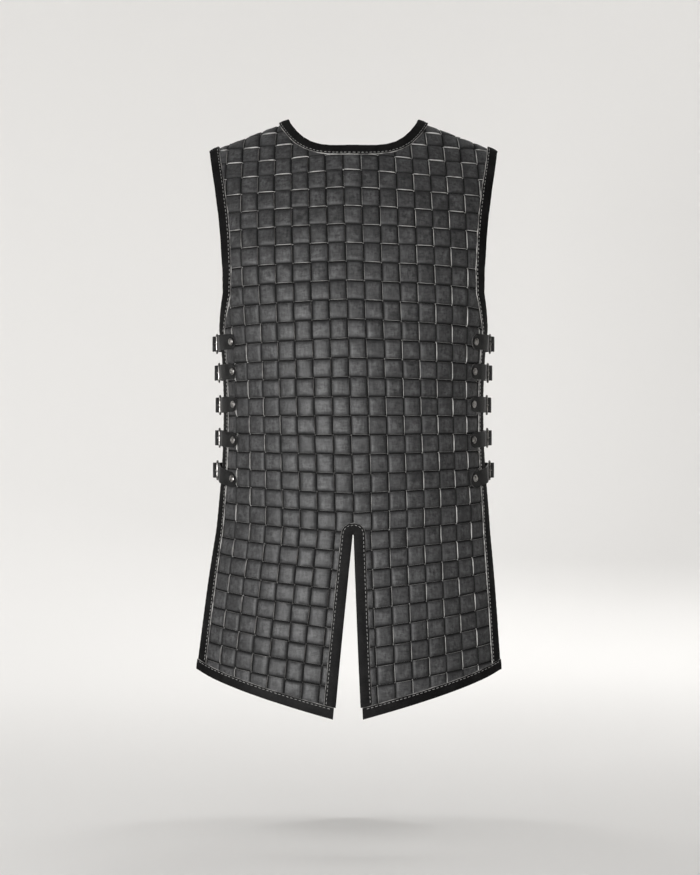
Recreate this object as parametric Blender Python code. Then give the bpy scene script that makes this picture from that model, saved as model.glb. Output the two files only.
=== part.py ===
"""Sleeveless body armour woven from flat black leather strips, in metres, +Z up.

The origin is midway between the tops of the shoulders, where the wearer carries it.
The shown side faces -Y. Each panel is woven flat, cut to a pattern and bent over the
figure: x across and y down the flat pattern become a place on the garment's form.
"""
import math

import bmesh
import bpy
import numpy as np

# Weave of the panels
UPRIGHT_PITCH = 0.0246
CROSSING_PITCH = 0.0270
SIDE_CROSSING_PITCH = 0.0246
WALL_LOW = 0.0025
WALL_HIGH = 0.0050
CROWN_INSET = 0.06
COLUMNS_EACH_WAY = 10
TOP_ROW = -4
ROWS = 34
LEVEL_ROW = 15
LEVEL_HEIGHT = -0.4246
WEAVE_LEAN = 1.2
WEAVE_LEAN_END = -0.57

# Cut of the panels, in metres on the form and in columns of the weave
NECK_HALF_WIDTH = 0.094
NECK_DROP = 0.044
NECK_POWER = 4.0
SIDE_COLUMNS = 8.5
SLIT_TOP = -0.590
SLIT_HALF_WIDTH = 0.0030
SLIT_OPENING = 0.0175
HEM_AT_SLIT = -0.842
HEM_AT_SIDE = -0.781
SEAM_GAP = 0.0003

# Folded binding
BINDING_WIDTH = 0.014
BINDING_LEATHER = 0.0014
BINDING_EDGE_GAP = 0.0010
BINDING_OUTER_GAP = 0.0013
BINDING_INNER_GAP = 0.0014
BINDING_STEP = 0.030
SHOULDER_STEP = 0.006
NECK_STEP = 0.017
HEM_TAB = 0.0030

# Straps, buckles and rivets
STRAP_HEIGHTS = (-0.319, -0.361, -0.4075, -0.455, -0.502)
STRAP_TILTS = (0.0, 0.0, 0.0, 0.06, 0.20)
STRAP_WIDTH = 0.020
STRAP_LEATHER = 0.0020
STRAP_REACH = 0.036
STRAP_CLEARANCE = 0.0010
BUCKLE_WIRE = 0.0026
BUCKLE_INNER_HEIGHT = 0.0240
BUCKLE_CORNER = 0.0015
BUCKLE_BAR_SPAN = 0.0135
BUCKLE_STAND_OFF = 0.0040
RIVET_RADIUS = 0.0055
RIVET_RISE = 0.0026
RIVET_SEAT = 0.0006

# Horizontal sections of the plain inside of the garment, a row for each height
FORM = (
    # height, half_width, depth, squareness, sway, extra half width of the hidden side
    (0.030, 0.030, 0.018, 1.10, 0.0, 0.0),
    (0.000, 0.096, 0.036, 1.10, 0.0, 0.0),
    (-0.020, 0.148, 0.050, 1.12, 0.0, 0.0),
    (-0.044, 0.206, 0.064, 1.15, 0.0, 0.0),
    (-0.070, 0.236, 0.076, 1.30, 0.0, 0.0),
    (-0.100, 0.240, 0.086, 1.60, 0.0, 0.0),
    (-0.150, 0.231, 0.098, 2.00, 0.0, 0.0),
    (-0.200, 0.219, 0.108, 2.35, 0.0, 0.0),
    (-0.260, 0.203, 0.116, 2.45, 0.0, 0.0),
    (-0.320, 0.192, 0.119, 2.30, 0.0, 0.0),
    (-0.400, 0.187, 0.120, 2.15, 0.0, 0.0),
    (-0.480, 0.190, 0.122, 2.10, 0.0, 0.0),
    (-0.560, 0.202, 0.126, 2.10, 0.0, 0.006),
    (-0.660, 0.224, 0.132, 2.10, -0.003, 0.015),
    (-0.760, 0.243, 0.137, 2.10, -0.006, 0.025),
    (-0.900, 0.264, 0.143, 2.10, -0.009, 0.034),
)

# Front edge of each armhole, from the shoulder down to the side edge
ARMHOLE = (
    # half width across the front, height
    (0.2045, -0.0440),
    (0.2000, -0.0700),
    (0.1940, -0.1010),
    (0.1880, -0.1390),
    (0.1840, -0.1750),
    (0.1805, -0.2180),
    (0.1800, -0.2500),
)
ARMHOLE_END = -0.300


def smooth_table(table, column, height):
    """Read a column of a table at a height, with a smooth curve through its rows."""
    rows = sorted(table)
    heights = np.array([row[0] for row in rows])
    values = np.array([row[column] for row in rows])
    slopes = np.gradient(values, heights)
    place = np.clip(np.searchsorted(heights, height) - 1, 0, len(heights) - 2)
    span = heights[place + 1] - heights[place]
    t = np.clip((height - heights[place]) / span, 0.0, 1.0)
    start = values[place] * (1 + 2 * t) * (1 - t) ** 2 + values[place + 1] * t * t * (3 - 2 * t)
    return start + span * (slopes[place] * t * (1 - t) ** 2 - slopes[place + 1] * t * t * (1 - t))


class Form:
    """One side of the figure, with the weave's columns and rows laid over it."""

    FINE_COLUMN = 0.125
    MIDDLE = 80
    FINE_ROW = 0.1
    FIRST_ROW = TOP_ROW - 1.0
    OVER_SHOULDER = 0.030

    def __init__(self, facing):
        self.facing = facing
        top = np.arange(0.030, -0.080, -0.0005)
        rest = np.arange(-0.080, -0.8995, -0.0020)
        self.heights = np.concatenate([top, rest])
        self.sections = [self.section(height) for height in self.heights]
        self.columns = np.arange(-COLUMNS_EACH_WAY, COLUMNS_EACH_WAY + 0.01, self.FINE_COLUMN)
        self.rows = np.arange(self.FIRST_ROW, ROWS + 1, self.FINE_ROW)
        self.paths = [self.column_path(column) for column in self.columns]
        self.net = np.array([self.resample(path) for path in self.paths])

    def section(self, height):
        """Arc length, x and depth from the middle round to the side, at one height."""
        half_width, depth, squareness = [smooth_table(FORM, c, height) for c in (1, 2, 3)]
        if self.facing > 0:
            half_width = half_width + smooth_table(FORM, 5, height)
        angle = np.linspace(0.0, math.pi / 2, 240)
        x = half_width * np.sin(angle) ** (2 / squareness)
        y = depth * np.cos(angle) ** (2 / squareness)
        y[-1] = 0.0
        order = np.argsort(x)
        arc = np.concatenate([[0.0], np.cumsum(np.hypot(np.diff(x[order]), np.diff(y[order])))])
        return arc, x[order], y[order]

    def weave_middle(self, height):
        """The column that lies on the middle line of the cut."""
        return WEAVE_LEAN * np.maximum(height - WEAVE_LEAN_END, 0.0)

    def slit_opening(self, height):
        fall = np.clip((SLIT_TOP - height) / (SLIT_TOP - HEM_AT_SLIT), 0.0, 1.1)
        return SLIT_OPENING * fall

    def arc_of_column(self, column, height):
        arc = (column - self.weave_middle(height)) * UPRIGHT_PITCH
        return arc + self.slit_opening(height) * np.clip(arc / SLIT_HALF_WIDTH, -1.0, 1.0)

    def column_path(self, column):
        """Points down one column, from over the shoulder to below the hem, and their rows."""
        points = []
        for height, (arc, x, y) in zip(self.heights, self.sections):
            reach = self.arc_of_column(column, height)
            if abs(reach) > arc[-1]:
                points = []
                continue
            side = math.copysign(1.0, reach)
            across = side * np.interp(abs(reach), arc, x) + smooth_table(FORM, 4, height)
            points.append((across, self.facing * np.interp(abs(reach), arc, y), height))
        points = np.array(points)
        over = points[:1]
        if points[0][2] < 0.0295:
            ridge = np.array([[points[0][0], 0.0, points[0][2] + 0.0002]])
            near = points[(points[0][2] - points[:, 2]) < self.OVER_SHOULDER]
            over = np.concatenate([near[::-1] * (1, -1, 1), ridge])
            points = np.concatenate([over, points])
        steps = np.linalg.norm(np.diff(points, axis=0), axis=1)
        spread = min(abs(column) / SIDE_COLUMNS, 1.0)
        low = np.clip((-0.28 - points[1:, 2]) / 0.10, 0.0, 1.0)
        side_pitch = CROSSING_PITCH + (SIDE_CROSSING_PITCH - CROSSING_PITCH) * low
        pitch = CROSSING_PITCH * (1 - spread) + side_pitch * spread
        row = np.concatenate([[0.0], np.cumsum(steps / pitch)])
        level = np.interp(-LEVEL_HEIGHT, -points[len(over):, 2], row[len(over):])
        return points, row - level + LEVEL_ROW, len(over)

    def resample(self, path):
        points, row, _ = path
        return np.stack([np.interp(self.rows, row, points[:, axis]) for axis in range(3)], axis=1)

    def point(self, column, row):
        """The place on the form at a column and row, between the points of the net."""
        c = np.clip((column - self.columns[0]) / self.FINE_COLUMN, 0, len(self.columns) - 1.001)
        r = np.clip((row - self.rows[0]) / self.FINE_ROW, 0, len(self.rows) - 1.001)
        # Points between the slit's edges are carried on from their own side of it
        i = int(c) + (int(c) == self.MIDDLE) - (int(c) == self.MIDDLE - 1)
        j = int(r)
        u = c - i
        v = r - j
        low = self.net[i, j] * (1 - v) + self.net[i, j + 1] * v
        high = self.net[i + 1, j] * (1 - v) + self.net[i + 1, j + 1] * v
        return low * (1 - u) + high * u

    def normal(self, column, row):
        across = self.point(column + 0.2, row) - self.point(column - 0.2, row)
        down = self.point(column, row + 0.2) - self.point(column, row - 0.2)
        normal = np.cross(across, down) * self.facing
        return normal / np.linalg.norm(normal)

    def bend(self, flat_x, flat_y, lift):
        """Carry a point of the flat pattern, and its height over it, to the garment."""
        column = flat_x / UPRIGHT_PITCH
        row = -flat_y / CROSSING_PITCH
        place = self.point(column, row) + self.normal(column, row) * lift
        place[1] = self.facing * max(self.facing * place[1], SEAM_GAP)
        return place

    def row_at(self, column, height):
        place = np.clip((column - self.columns[0]) / self.FINE_COLUMN, 0, len(self.columns) - 1.001)
        i = int(place)
        found = []
        for points, row, start in (self.paths[i], self.paths[i + 1]):
            found.append(np.interp(-height, -points[start:, 2], row[start:]))
        return found[0] + (found[1] - found[0]) * (place - i)

    def flat(self, column, height):
        """Flat place of a column at a height."""
        return column * UPRIGHT_PITCH, -self.row_at(column, height) * CROSSING_PITCH

    def flat_at_width(self, across, height):
        """Flat place of a point that the front view shows at a width and height."""
        arc, x, _ = self.section(height)
        reach = np.interp(abs(across), x, arc) * math.copysign(1.0, across)
        return self.flat(reach / UPRIGHT_PITCH + self.weave_middle(height), height)

    def ridge(self, column):
        """Flat place of the shoulder's top on a column, half a seam gap down this side."""
        place = np.clip((column - self.columns[0]) / self.FINE_COLUMN, 0, len(self.columns) - 1.001)
        i = int(place)
        rows = [path[1][path[2] - 1] for path in (self.paths[i], self.paths[i + 1])]
        row = rows[0] + (rows[1] - rows[0]) * (place - i)
        return column * UPRIGHT_PITCH, -row * CROSSING_PITCH - SEAM_GAP


def spaced(points, first_step, step):
    """Points along a flat line, close at its start where it turns over the shoulder."""
    points = np.array(points)
    along = np.concatenate([[0.0], np.cumsum(np.linalg.norm(np.diff(points, axis=0), axis=1))])
    places = [0.0]
    stride = first_step
    while places[-1] + 1.5 * stride < along[-1]:
        places.append(places[-1] + stride)
        stride = min(step, stride * 1.35)
    places.append(along[-1])
    return [tuple(np.interp(place, along, points[:, axis]) for axis in (0, 1)) for place in places]


def neck_line(form):
    """Flat points along the neck, from the left shoulder to the right."""
    points = []
    for turn in np.linspace(-1.0, 1.0, 19):
        across = NECK_HALF_WIDTH * math.sin(turn * math.pi / 2)
        height = -NECK_DROP * (1 - abs(across / NECK_HALF_WIDTH) ** NECK_POWER)
        if abs(turn) < 0.999:
            points.append(form.flat_at_width(across, height))
    columns = [corner_column(form, side, 0) for side in (-1, 1)]
    return spaced([form.ridge(columns[0])] + points + [form.ridge(columns[1])], NECK_STEP, NECK_STEP)


def corner_column(form, side, end):
    """The column at a shoulder's neck corner (end 0) or arm corner (end 1)."""
    across, height = ((NECK_HALF_WIDTH, -0.0008), ARMHOLE[0])[end]
    half_width = smooth_table(FORM, 1, height)
    arc, x, _ = form.section(height)
    reach = np.interp(min(across, half_width), x, arc)
    return side * reach / UPRIGHT_PITCH + form.weave_middle(height)


def shoulder_line(form, side):
    """Flat points along the shoulder's top, from the neck to the arm."""
    start = corner_column(form, side, 0)
    end = corner_column(form, side, 1)
    return [form.ridge(start + (end - start) * t) for t in np.linspace(0.0, 1.0, 6)]


def side_line(form, side):
    """Flat points from the shoulder down the armhole and the side edge to the hem."""
    points = [shoulder_line(form, side)[-1]]
    for across, height in ARMHOLE[1:]:
        points.append(form.flat_at_width(side * across, height))
    for height in np.arange(ARMHOLE_END, HEM_AT_SIDE + 0.010, -0.0245):
        points.append(form.flat(side * SIDE_COLUMNS + form.weave_middle(height), height))
    points.append(form.flat(side * SIDE_COLUMNS, HEM_AT_SIDE))
    return spaced(points, SHOULDER_STEP, BINDING_STEP)


def hem_line(form, side):
    """Flat points along the hem, from the side to the slit."""
    points = []
    slit = SLIT_HALF_WIDTH / UPRIGHT_PITCH
    for t in np.linspace(0.0, 1.0, 10):
        column = SIDE_COLUMNS + (slit - SIDE_COLUMNS) * t
        height = HEM_AT_SIDE + (HEM_AT_SLIT - HEM_AT_SIDE) * t ** 0.9
        points.append(form.flat(side * column, height))
    return spaced(points, BINDING_STEP, BINDING_STEP)


def slit_line(form):
    """Flat points up the right side of the slit, round its top and down the left."""
    slit = SLIT_HALF_WIDTH / UPRIGHT_PITCH
    heights = np.linspace(HEM_AT_SLIT, SLIT_TOP, 9)
    right = [form.flat(slit, height) for height in heights]
    left = [form.flat(-slit, height) for height in heights]
    top = (right[-1][1] + left[-1][1]) / 2
    arch = []
    for turn in np.linspace(0.0, math.pi, 5)[1:-1]:
        arch.append((SLIT_HALF_WIDTH * math.cos(turn), top + SLIT_HALF_WIDTH * math.sin(turn)))
    return right + arch + left[::-1]


def outline(form):
    """The whole cut of a panel as one flat loop."""
    loop = neck_line(form)
    loop += shoulder_line(form, 1)[1:]
    loop += side_line(form, 1)[1:]
    loop += hem_line(form, 1)[1:]
    loop += slit_line(form)[1:]
    loop += hem_line(form, -1)[::-1][1:]
    loop += side_line(form, -1)[::-1][1:]
    loop += shoulder_line(form, -1)[::-1][1:-1]
    return loop


def leather(name, colour, roughness, metallic=0.0):
    material = bpy.data.materials.new(name)
    material.use_nodes = True
    shader = material.node_tree.nodes["Principled BSDF"]
    shader.inputs["Base Color"].default_value = (*colour, 1.0)
    shader.inputs["Roughness"].default_value = roughness
    shader.inputs["Metallic"].default_value = metallic
    return material


def add_object(name, mesh, material):
    mesh.materials.append(material)
    item = bpy.data.objects.new(name, mesh)
    bpy.context.scene.collection.objects.link(item)
    return item


def mesh_from(name, points, faces):
    mesh = bpy.data.meshes.new(name)
    mesh.from_pydata([tuple(point) for point in points], [], faces)
    work = bmesh.new()
    work.from_mesh(mesh)
    bmesh.ops.recalc_face_normals(work, faces=work.faces)
    work.to_mesh(mesh)
    work.free()
    return mesh


def woven_sheet():
    """A flat woven sheet: each crossing of strips crowned outside, plain inside."""
    sheet = bmesh.new()
    columns = range(-COLUMNS_EACH_WAY, COLUMNS_EACH_WAY + 1)
    grid = {}
    for i in columns:
        for j in range(TOP_ROW, ROWS + 2):
            place = (i * UPRIGHT_PITCH, -j * CROSSING_PITCH)
            grid[i, j] = [sheet.verts.new((*place, z)) for z in (0.0, WALL_LOW)]
    for i in columns[:-1]:
        for j in range(TOP_ROW, ROWS + 1):
            ring = [grid[i, j], grid[i + 1, j], grid[i + 1, j + 1], grid[i, j + 1]]
            sheet.faces.new([corner[0] for corner in ring])
            a, b, c, d = [corner[1] for corner in ring]
            if (i + j) % 2 == 0:
                ends = ((i + CROWN_INSET, j + 0.5), (i + 1 - CROWN_INSET, j + 0.5))
            else:
                ends = ((i + 0.5, j + 1 - CROWN_INSET), (i + 0.5, j + CROWN_INSET))
                a, b, c, d = d, a, b, c
            left, right = [
                sheet.verts.new((x * UPRIGHT_PITCH, -y * CROSSING_PITCH, WALL_HIGH)) for x, y in ends
            ]
            sheet.faces.new((a, left, right, b))
            sheet.faces.new((c, right, left, d))
            sheet.faces.new((b, right, c))
            sheet.faces.new((d, left, a))
    rim = [edge for edge in sheet.edges if edge.is_boundary]
    low = [edge for edge in rim if max(v.co.z for v in edge.verts) < 0.5 * WALL_LOW]
    for edge in low:
        first, second = edge.verts
        upper = [next(v for v in corner if v.co.z > 0.5 * WALL_LOW) for corner in
                 ([c for c in grid.values() if first in c][0], [c for c in grid.values() if second in c][0])]
        sheet.faces.new((first, second, upper[1], upper[0]))
    bmesh.ops.recalc_face_normals(sheet, faces=sheet.faces)
    mesh = bpy.data.meshes.new("woven_sheet")
    sheet.to_mesh(mesh)
    sheet.free()
    return mesh


def pattern_prism(form):
    """The cutter: the flat outline of the panel, thicker than the sheet."""
    loop = outline(form)
    count = len(loop)
    points = [(x, y, z) for z in (-0.01, 0.02) for x, y in loop]
    faces = [list(range(count)), list(range(count, 2 * count))]
    for k in range(count):
        n = (k + 1) % count
        faces.append((k, n, count + n, count + k))
    return mesh_from("pattern_prism", points, faces)


def add_panel(name, form, material):
    """Weave flat, cut to the pattern, then bend over the figure."""
    flat = bpy.data.objects.new(name + "_flat", woven_sheet())
    cutter = bpy.data.objects.new(name + "_pattern", pattern_prism(form))
    for item in (flat, cutter):
        bpy.context.scene.collection.objects.link(item)
    cut = flat.modifiers.new("cut", "BOOLEAN")
    cut.operation = "INTERSECT"
    cut.object = cutter
    bpy.context.view_layer.update()
    mesh = bpy.data.meshes.new_from_object(flat.evaluated_get(bpy.context.evaluated_depsgraph_get()))
    mesh.name = name
    for item in (flat, cutter):
        bpy.data.objects.remove(item, do_unlink=True)
    work = bmesh.new()
    work.from_mesh(mesh)
    bmesh.ops.remove_doubles(work, verts=work.verts, dist=0.00002)
    bmesh.ops.triangulate(work, faces=work.faces)
    for vertex in work.verts:
        vertex.co = form.bend(*vertex.co)
    bmesh.ops.recalc_face_normals(work, faces=work.faces)
    work.to_mesh(mesh)
    work.free()
    return add_object(name, mesh, material)


def inward_directions(line, inside, first=None, last=None):
    """Unit flat directions into the panel at each station, the ends set where given."""
    tangent = np.gradient(line, axis=0)
    normal = np.stack([-tangent[:, 1], tangent[:, 0]], axis=1) * inside
    normal = normal / np.linalg.norm(normal, axis=1)[:, None]
    for index, wanted in ((0, first), (-1, last)):
        if wanted is not None:
            wanted = np.array(wanted) / np.linalg.norm(wanted)
            normal[index] = wanted / max(0.35, float(wanted @ normal[index]))
    return normal


def add_binding(name, form, line, inward, material):
    """A strip folded over the panel's edge: an outer leaf, the fold and an inner leaf."""
    top = WALL_HIGH + BINDING_OUTER_GAP
    low = -BINDING_INNER_GAP
    edge = -BINDING_EDGE_GAP
    profile = (
        (BINDING_WIDTH, top + BINDING_LEATHER),
        (edge - 0.4 * BINDING_LEATHER, top + BINDING_LEATHER),
        (edge - BINDING_LEATHER, top + 0.2 * BINDING_LEATHER),
        (edge - BINDING_LEATHER, low - BINDING_LEATHER),
        (BINDING_WIDTH, low - BINDING_LEATHER),
        (BINDING_WIDTH, low),
        (edge, low),
        (edge, top),
        (BINDING_WIDTH, top),
    )
    points = []
    for place, direction in zip(line, inward):
        for reach, lift in profile:
            x, y = place + direction * reach
            points.append(form.bend(x, y, lift))
    size = len(profile)
    faces = []
    for k in range(len(line) - 1):
        for m in range(size):
            n = (m + 1) % size
            faces.append((k * size + m, k * size + n, (k + 1) * size + n, (k + 1) * size + m))
    leaves = ((8, 0, 1, 7), (7, 1, 2), (7, 2, 3, 6), (6, 3, 4, 5))
    for start in (0, (len(line) - 1) * size):
        faces += [tuple(start + corner for corner in leaf) for leaf in leaves]
    return add_object(name, mesh_from(name, points, faces), material)


def add_bindings(form, where, material):
    """All the folded edges of one panel."""
    neck = np.array(neck_line(form))
    shoulders = [np.array(shoulder_line(form, side)) for side in (-1, 1)]
    inward = inward_directions(neck, -1, shoulders[0][1] - shoulders[0][0], shoulders[1][1] - shoulders[1][0])
    add_binding("neck_binding_" + where, form, neck, inward, material)
    hem_clear = BINDING_WIDTH + SEAM_GAP
    for side, word in ((-1, "left"), (1, "right")):
        hem = np.array(hem_line(form, side))
        run = np.array(side_line(form, side))
        shoulder = np.array(shoulder_line(form, side))
        slope = hem[1] - hem[0]
        rise = np.array((0.0, hem_clear * np.linalg.norm(slope) / abs(slope[0])))
        end = run[-1] + rise
        run = np.concatenate([run[run[:, 1] > end[1] + 0.004], [end]])
        inward = inward_directions(run, -side, shoulder[-2] - shoulder[-1], slope)
        add_binding("side_binding_" + where + "_" + word, form, run, inward, material)
        hem[0] = hem[0] + (hem[0] - hem[1]) * HEM_TAB / np.linalg.norm(hem[0] - hem[1])
        inward = inward_directions(hem, -side, (0.0, 1.0), (0.0, 1.0))
        add_binding("hem_binding_" + where + "_" + word, form, hem, inward, material)
    slit = np.array(slit_line(form))
    slopes = [np.array(hem_line(form, side))[-2] - np.array(hem_line(form, side))[-1] for side in (1, -1)]
    for index, slope in ((0, slopes[0]), (-1, slopes[1])):
        slit[index] = slit[index] + np.array((0.0, hem_clear * np.linalg.norm(slope) / abs(slope[0])))
    inward = inward_directions(slit, -1, slopes[0], slopes[1])
    add_binding("slit_binding_" + where, form, slit, inward, material)


def strap_path(form, side, height, reach):
    """Plan points of a strap: from its end on the panel, over the binding, to the side."""
    arc, x, y = form.section(height)
    edge = SIDE_COLUMNS * UPRIGHT_PITCH
    on_weave = WALL_HIGH + STRAP_CLEARANCE + STRAP_LEATHER / 2
    on_binding = on_weave + BINDING_OUTER_GAP + BINDING_LEATHER
    points = []
    for place in np.linspace(edge - reach, edge + BINDING_EDGE_GAP, 6):
        lift = on_weave if place < edge - BINDING_WIDTH - 0.005 else on_binding
        at = np.array([np.interp(place, arc, x), np.interp(place, arc, y)])
        ahead = np.array([np.interp(place + 0.002, arc, x), np.interp(place + 0.002, arc, y)])
        tangent = (ahead - at) / np.linalg.norm(ahead - at)
        out = np.array([-tangent[1], tangent[0]])
        points.append(at + out * lift)
    return [(side * p[0] + smooth_table(FORM, 4, height), form.facing * p[1]) for p in points]


def add_ribbon(name, upper, lower, height, tilt, level_from, material):
    """A flat strap between two plan paths, one for each edge, its first end cut round."""
    edges = [np.array(upper), np.array(lower)]
    middle = (edges[0] + edges[1]) / 2
    along = np.concatenate([[0.0], np.cumsum(np.linalg.norm(np.diff(middle, axis=0), axis=1))])
    points = []
    for k in range(len(middle)):
        half = STRAP_WIDTH * (0.28 if k == 0 else 0.5)
        rise = height - tilt * max(along[level_from] - along[k], 0.0)
        for path, z, turns in ((edges[0], half, (1, -1)), (edges[1], -half, (-1, 1))):
            tangent = path[min(k + 1, len(path) - 1)] - path[max(k - 1, 0)]
            tangent = tangent / np.linalg.norm(tangent)
            out = np.array((-tangent[1], tangent[0])) * STRAP_LEATHER / 2
            for turn in turns:
                points.append((*(path[k] + out * turn), rise + z))
    faces = [(0, 1, 2, 3), tuple(4 * (len(middle) - 1) + m for m in range(4))]
    for k in range(len(middle) - 1):
        for m in range(4):
            n = (m + 1) % 4
            faces.append((4 * k + m, 4 * k + n, 4 * k + 4 + n, 4 * k + 4 + m))
    return add_object(name, mesh_from(name, points, faces), material)


def tube(points, path, radius, sides, closed):
    """Add the rings of a wire along a path to a point list, and give its faces."""
    path = np.array(path)
    start = len(points)
    faces = []
    count = len(path)
    for k in range(count):
        before = path[k - 1] if closed or k else path[k]
        after = path[(k + 1) % count] if closed or k < count - 1 else path[k]
        tangent = (after - before) / np.linalg.norm(after - before)
        first = np.cross(tangent, (1.0, 0.0, 0.0))
        first = first / np.linalg.norm(first)
        second = np.cross(tangent, first)
        for m in range(sides):
            turn = 2 * math.pi * (m + 0.5) / sides
            points.append(path[k] + radius * (first * math.cos(turn) + second * math.sin(turn)))
    for k in range(count if closed else count - 1):
        n = (k + 1) % count
        for m in range(sides):
            o = (m + 1) % sides
            faces.append([start + sides * k + m, start + sides * k + o,
                          start + sides * n + o, start + sides * n + m])
    if not closed:
        faces.append([start + m for m in range(sides)])
        faces.append([start + sides * (count - 1) + m for m in range(sides)])
    return faces


def add_fastening(number, side, word, front, back, materials):
    """One strap, its buckle strap, its buckle and its rivet."""
    black, metal = materials
    height = STRAP_HEIGHTS[number - 1]
    tilt = STRAP_TILTS[number - 1]
    rise = height - tilt * (STRAP_REACH + BUCKLE_INNER_HEIGHT)
    half = STRAP_WIDTH / 2
    shown = [strap_path(front, side, rise + z, STRAP_REACH) for z in (half, -half)]
    hidden = [strap_path(back, side, height + z, STRAP_REACH) for z in (half, -half)]
    plane = max(abs(path[-1][0]) for path in shown + hidden) + BUCKLE_STAND_OFF
    bar = BUCKLE_BAR_SPAN / 2
    under = plane - BUCKLE_WIRE / 2 - SEAM_GAP - STRAP_LEATHER / 2
    over = plane + BUCKLE_WIRE / 2 + 2 * STRAP_LEATHER + 3 * SEAM_GAP
    rest = [(under, -bar - 0.008), (under, -bar + 0.0005), (over, bar - 0.0025), (over, bar + 0.006),
            (over - 0.0012, bar + 0.016)]
    rest = [(side * x, y) for x, y in rest]
    add_ribbon("strap_" + word, shown[0] + rest, shown[1] + rest, height, tilt, 6, black)
    radius = BUCKLE_WIRE / 2 + SEAM_GAP + STRAP_LEATHER / 2
    loop = [(under, bar + 0.010)]
    for turn in np.linspace(-math.pi / 2, math.pi / 2, 5):
        loop.append((plane + radius * math.sin(turn), bar - radius * math.cos(turn)))
    loop.append((plane + radius - 0.0004, bar + 0.008))
    loop = [(side * x, y) for x, y in loop]
    add_ribbon("buckle_strap_" + word, hidden[0] + loop, hidden[1] + loop, height, 0.0, 0, black)
    half = BUCKLE_INNER_HEIGHT / 2 + BUCKLE_WIRE / 2
    corners = []
    cut = BUCKLE_CORNER
    for y, z in ((-bar, -half), (bar, -half), (bar, half), (-bar, half)):
        for dy, dz in (((0.0, cut), (cut, 0.0)) if y * z > 0 else ((cut, 0.0), (0.0, cut))):
            corners.append((side * plane, y - math.copysign(dy, y), height + z - math.copysign(dz, z)))
    points = []
    faces = tube(points, corners, BUCKLE_WIRE / 2, 6, True)
    add_object("buckle_" + word, mesh_from("buckle_" + word, points, faces), metal)
    add_rivet("rivet_" + word, shown, rise + tilt * STRAP_REACH / 5, metal)


def add_rivet(name, edges, height, metal):
    """A low domed head seated on the strap near its rounded end."""
    upper, lower = [np.array(path) for path in edges]
    middle = (upper + lower) / 2
    along = np.append(middle[2] - middle[0], 0.0)
    along = along / np.linalg.norm(along)
    up = np.append(upper[1] - lower[1], STRAP_WIDTH)
    up = up / np.linalg.norm(up)
    out = np.cross(along, up)
    out = out * math.copysign(1.0, float(out[:2] @ middle[1]))
    centre = np.append(middle[1], height) + out * (STRAP_LEATHER / 2 + RIVET_SEAT)
    points = []
    faces = []
    sides = 8
    rings = ((1.0, 0.0), (0.75, 0.70))
    for reach, rise in rings:
        for m in range(sides):
            turn = 2 * math.pi * m / sides
            spread = (along * math.cos(turn) + up * math.sin(turn)) * RIVET_RADIUS * reach
            points.append(centre + spread + out * RIVET_RISE * rise)
    points.append(centre + out * RIVET_RISE)
    for k in range(len(rings) - 1):
        for m in range(sides):
            n = (m + 1) % sides
            faces.append((k * sides + m, k * sides + n, (k + 1) * sides + n, (k + 1) * sides + m))
    last = (len(rings) - 1) * sides
    faces.append(tuple(range(sides)))
    faces += [(last + m, last + (m + 1) % sides, len(points) - 1) for m in range(sides)]
    add_object(name, mesh_from(name, points, faces), metal)


def build():
    for item in list(bpy.data.objects):
        bpy.data.objects.remove(item, do_unlink=True)
    woven = leather("woven_leather", (0.045, 0.046, 0.049), 0.5)
    folded = leather("binding_leather", (0.018, 0.017, 0.016), 0.55)
    strap = leather("strap_leather", (0.025, 0.025, 0.026), 0.5)
    metal = leather("nickel", (0.55, 0.55, 0.53), 0.3, 1.0)
    front = Form(-1)
    back = Form(1)
    for form, where in ((front, "front"), (back, "back")):
        add_panel(where + "_panel", form, woven)
        add_bindings(form, where, folded)
    for side, word in ((-1, "left"), (1, "right")):
        for number in range(1, len(STRAP_HEIGHTS) + 1):
            add_fastening(number, side, word + "_" + str(number), front, back, (strap, metal))


build()
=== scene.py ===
"""Body armour woven from flat black leather strips, bound and buckled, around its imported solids.

Everything is in metres, +Z up, the shown side towards -Y and the origin between the shoulders.
"""

import math

import bmesh
import bpy
import numpy as np
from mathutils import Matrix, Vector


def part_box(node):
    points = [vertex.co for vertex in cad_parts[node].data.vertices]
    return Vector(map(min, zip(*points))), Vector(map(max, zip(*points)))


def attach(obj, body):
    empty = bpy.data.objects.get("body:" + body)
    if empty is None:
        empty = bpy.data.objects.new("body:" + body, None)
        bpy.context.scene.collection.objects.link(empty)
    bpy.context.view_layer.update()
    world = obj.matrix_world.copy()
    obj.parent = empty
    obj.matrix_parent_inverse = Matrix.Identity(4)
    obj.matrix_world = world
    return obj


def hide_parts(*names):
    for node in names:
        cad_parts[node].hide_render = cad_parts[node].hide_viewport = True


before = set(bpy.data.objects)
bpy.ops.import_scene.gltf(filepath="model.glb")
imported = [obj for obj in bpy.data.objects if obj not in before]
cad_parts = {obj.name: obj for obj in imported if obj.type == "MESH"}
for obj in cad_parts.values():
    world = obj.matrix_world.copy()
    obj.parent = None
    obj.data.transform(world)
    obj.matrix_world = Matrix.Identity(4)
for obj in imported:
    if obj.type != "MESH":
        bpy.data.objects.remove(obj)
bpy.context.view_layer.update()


# Woven panels
# Two sheets, plaited one over one under from strips of cowhide nearly 3 mm thick and 24 to 26 mm
# wide, cut to a pattern and shaped over a body. They meet at the shoulders, open at both sides.
UPRIGHT_PITCH = 0.0246
CROSSING_PITCH = 0.0270
SIDE_CROSSING_PITCH = 0.0246
COLUMNS_EACH_WAY = 10
TOP_ROW = -4
ROWS = 34
LEVEL_ROW = 15
LEVEL_HEIGHT = -0.4246
WEAVE_LEAN = 1.2
WEAVE_LEAN_END = -0.57
NECK_HALF_WIDTH = 0.094
NECK_DROP = 0.044
NECK_POWER = 4.0
SIDE_COLUMNS = 8.5
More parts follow.
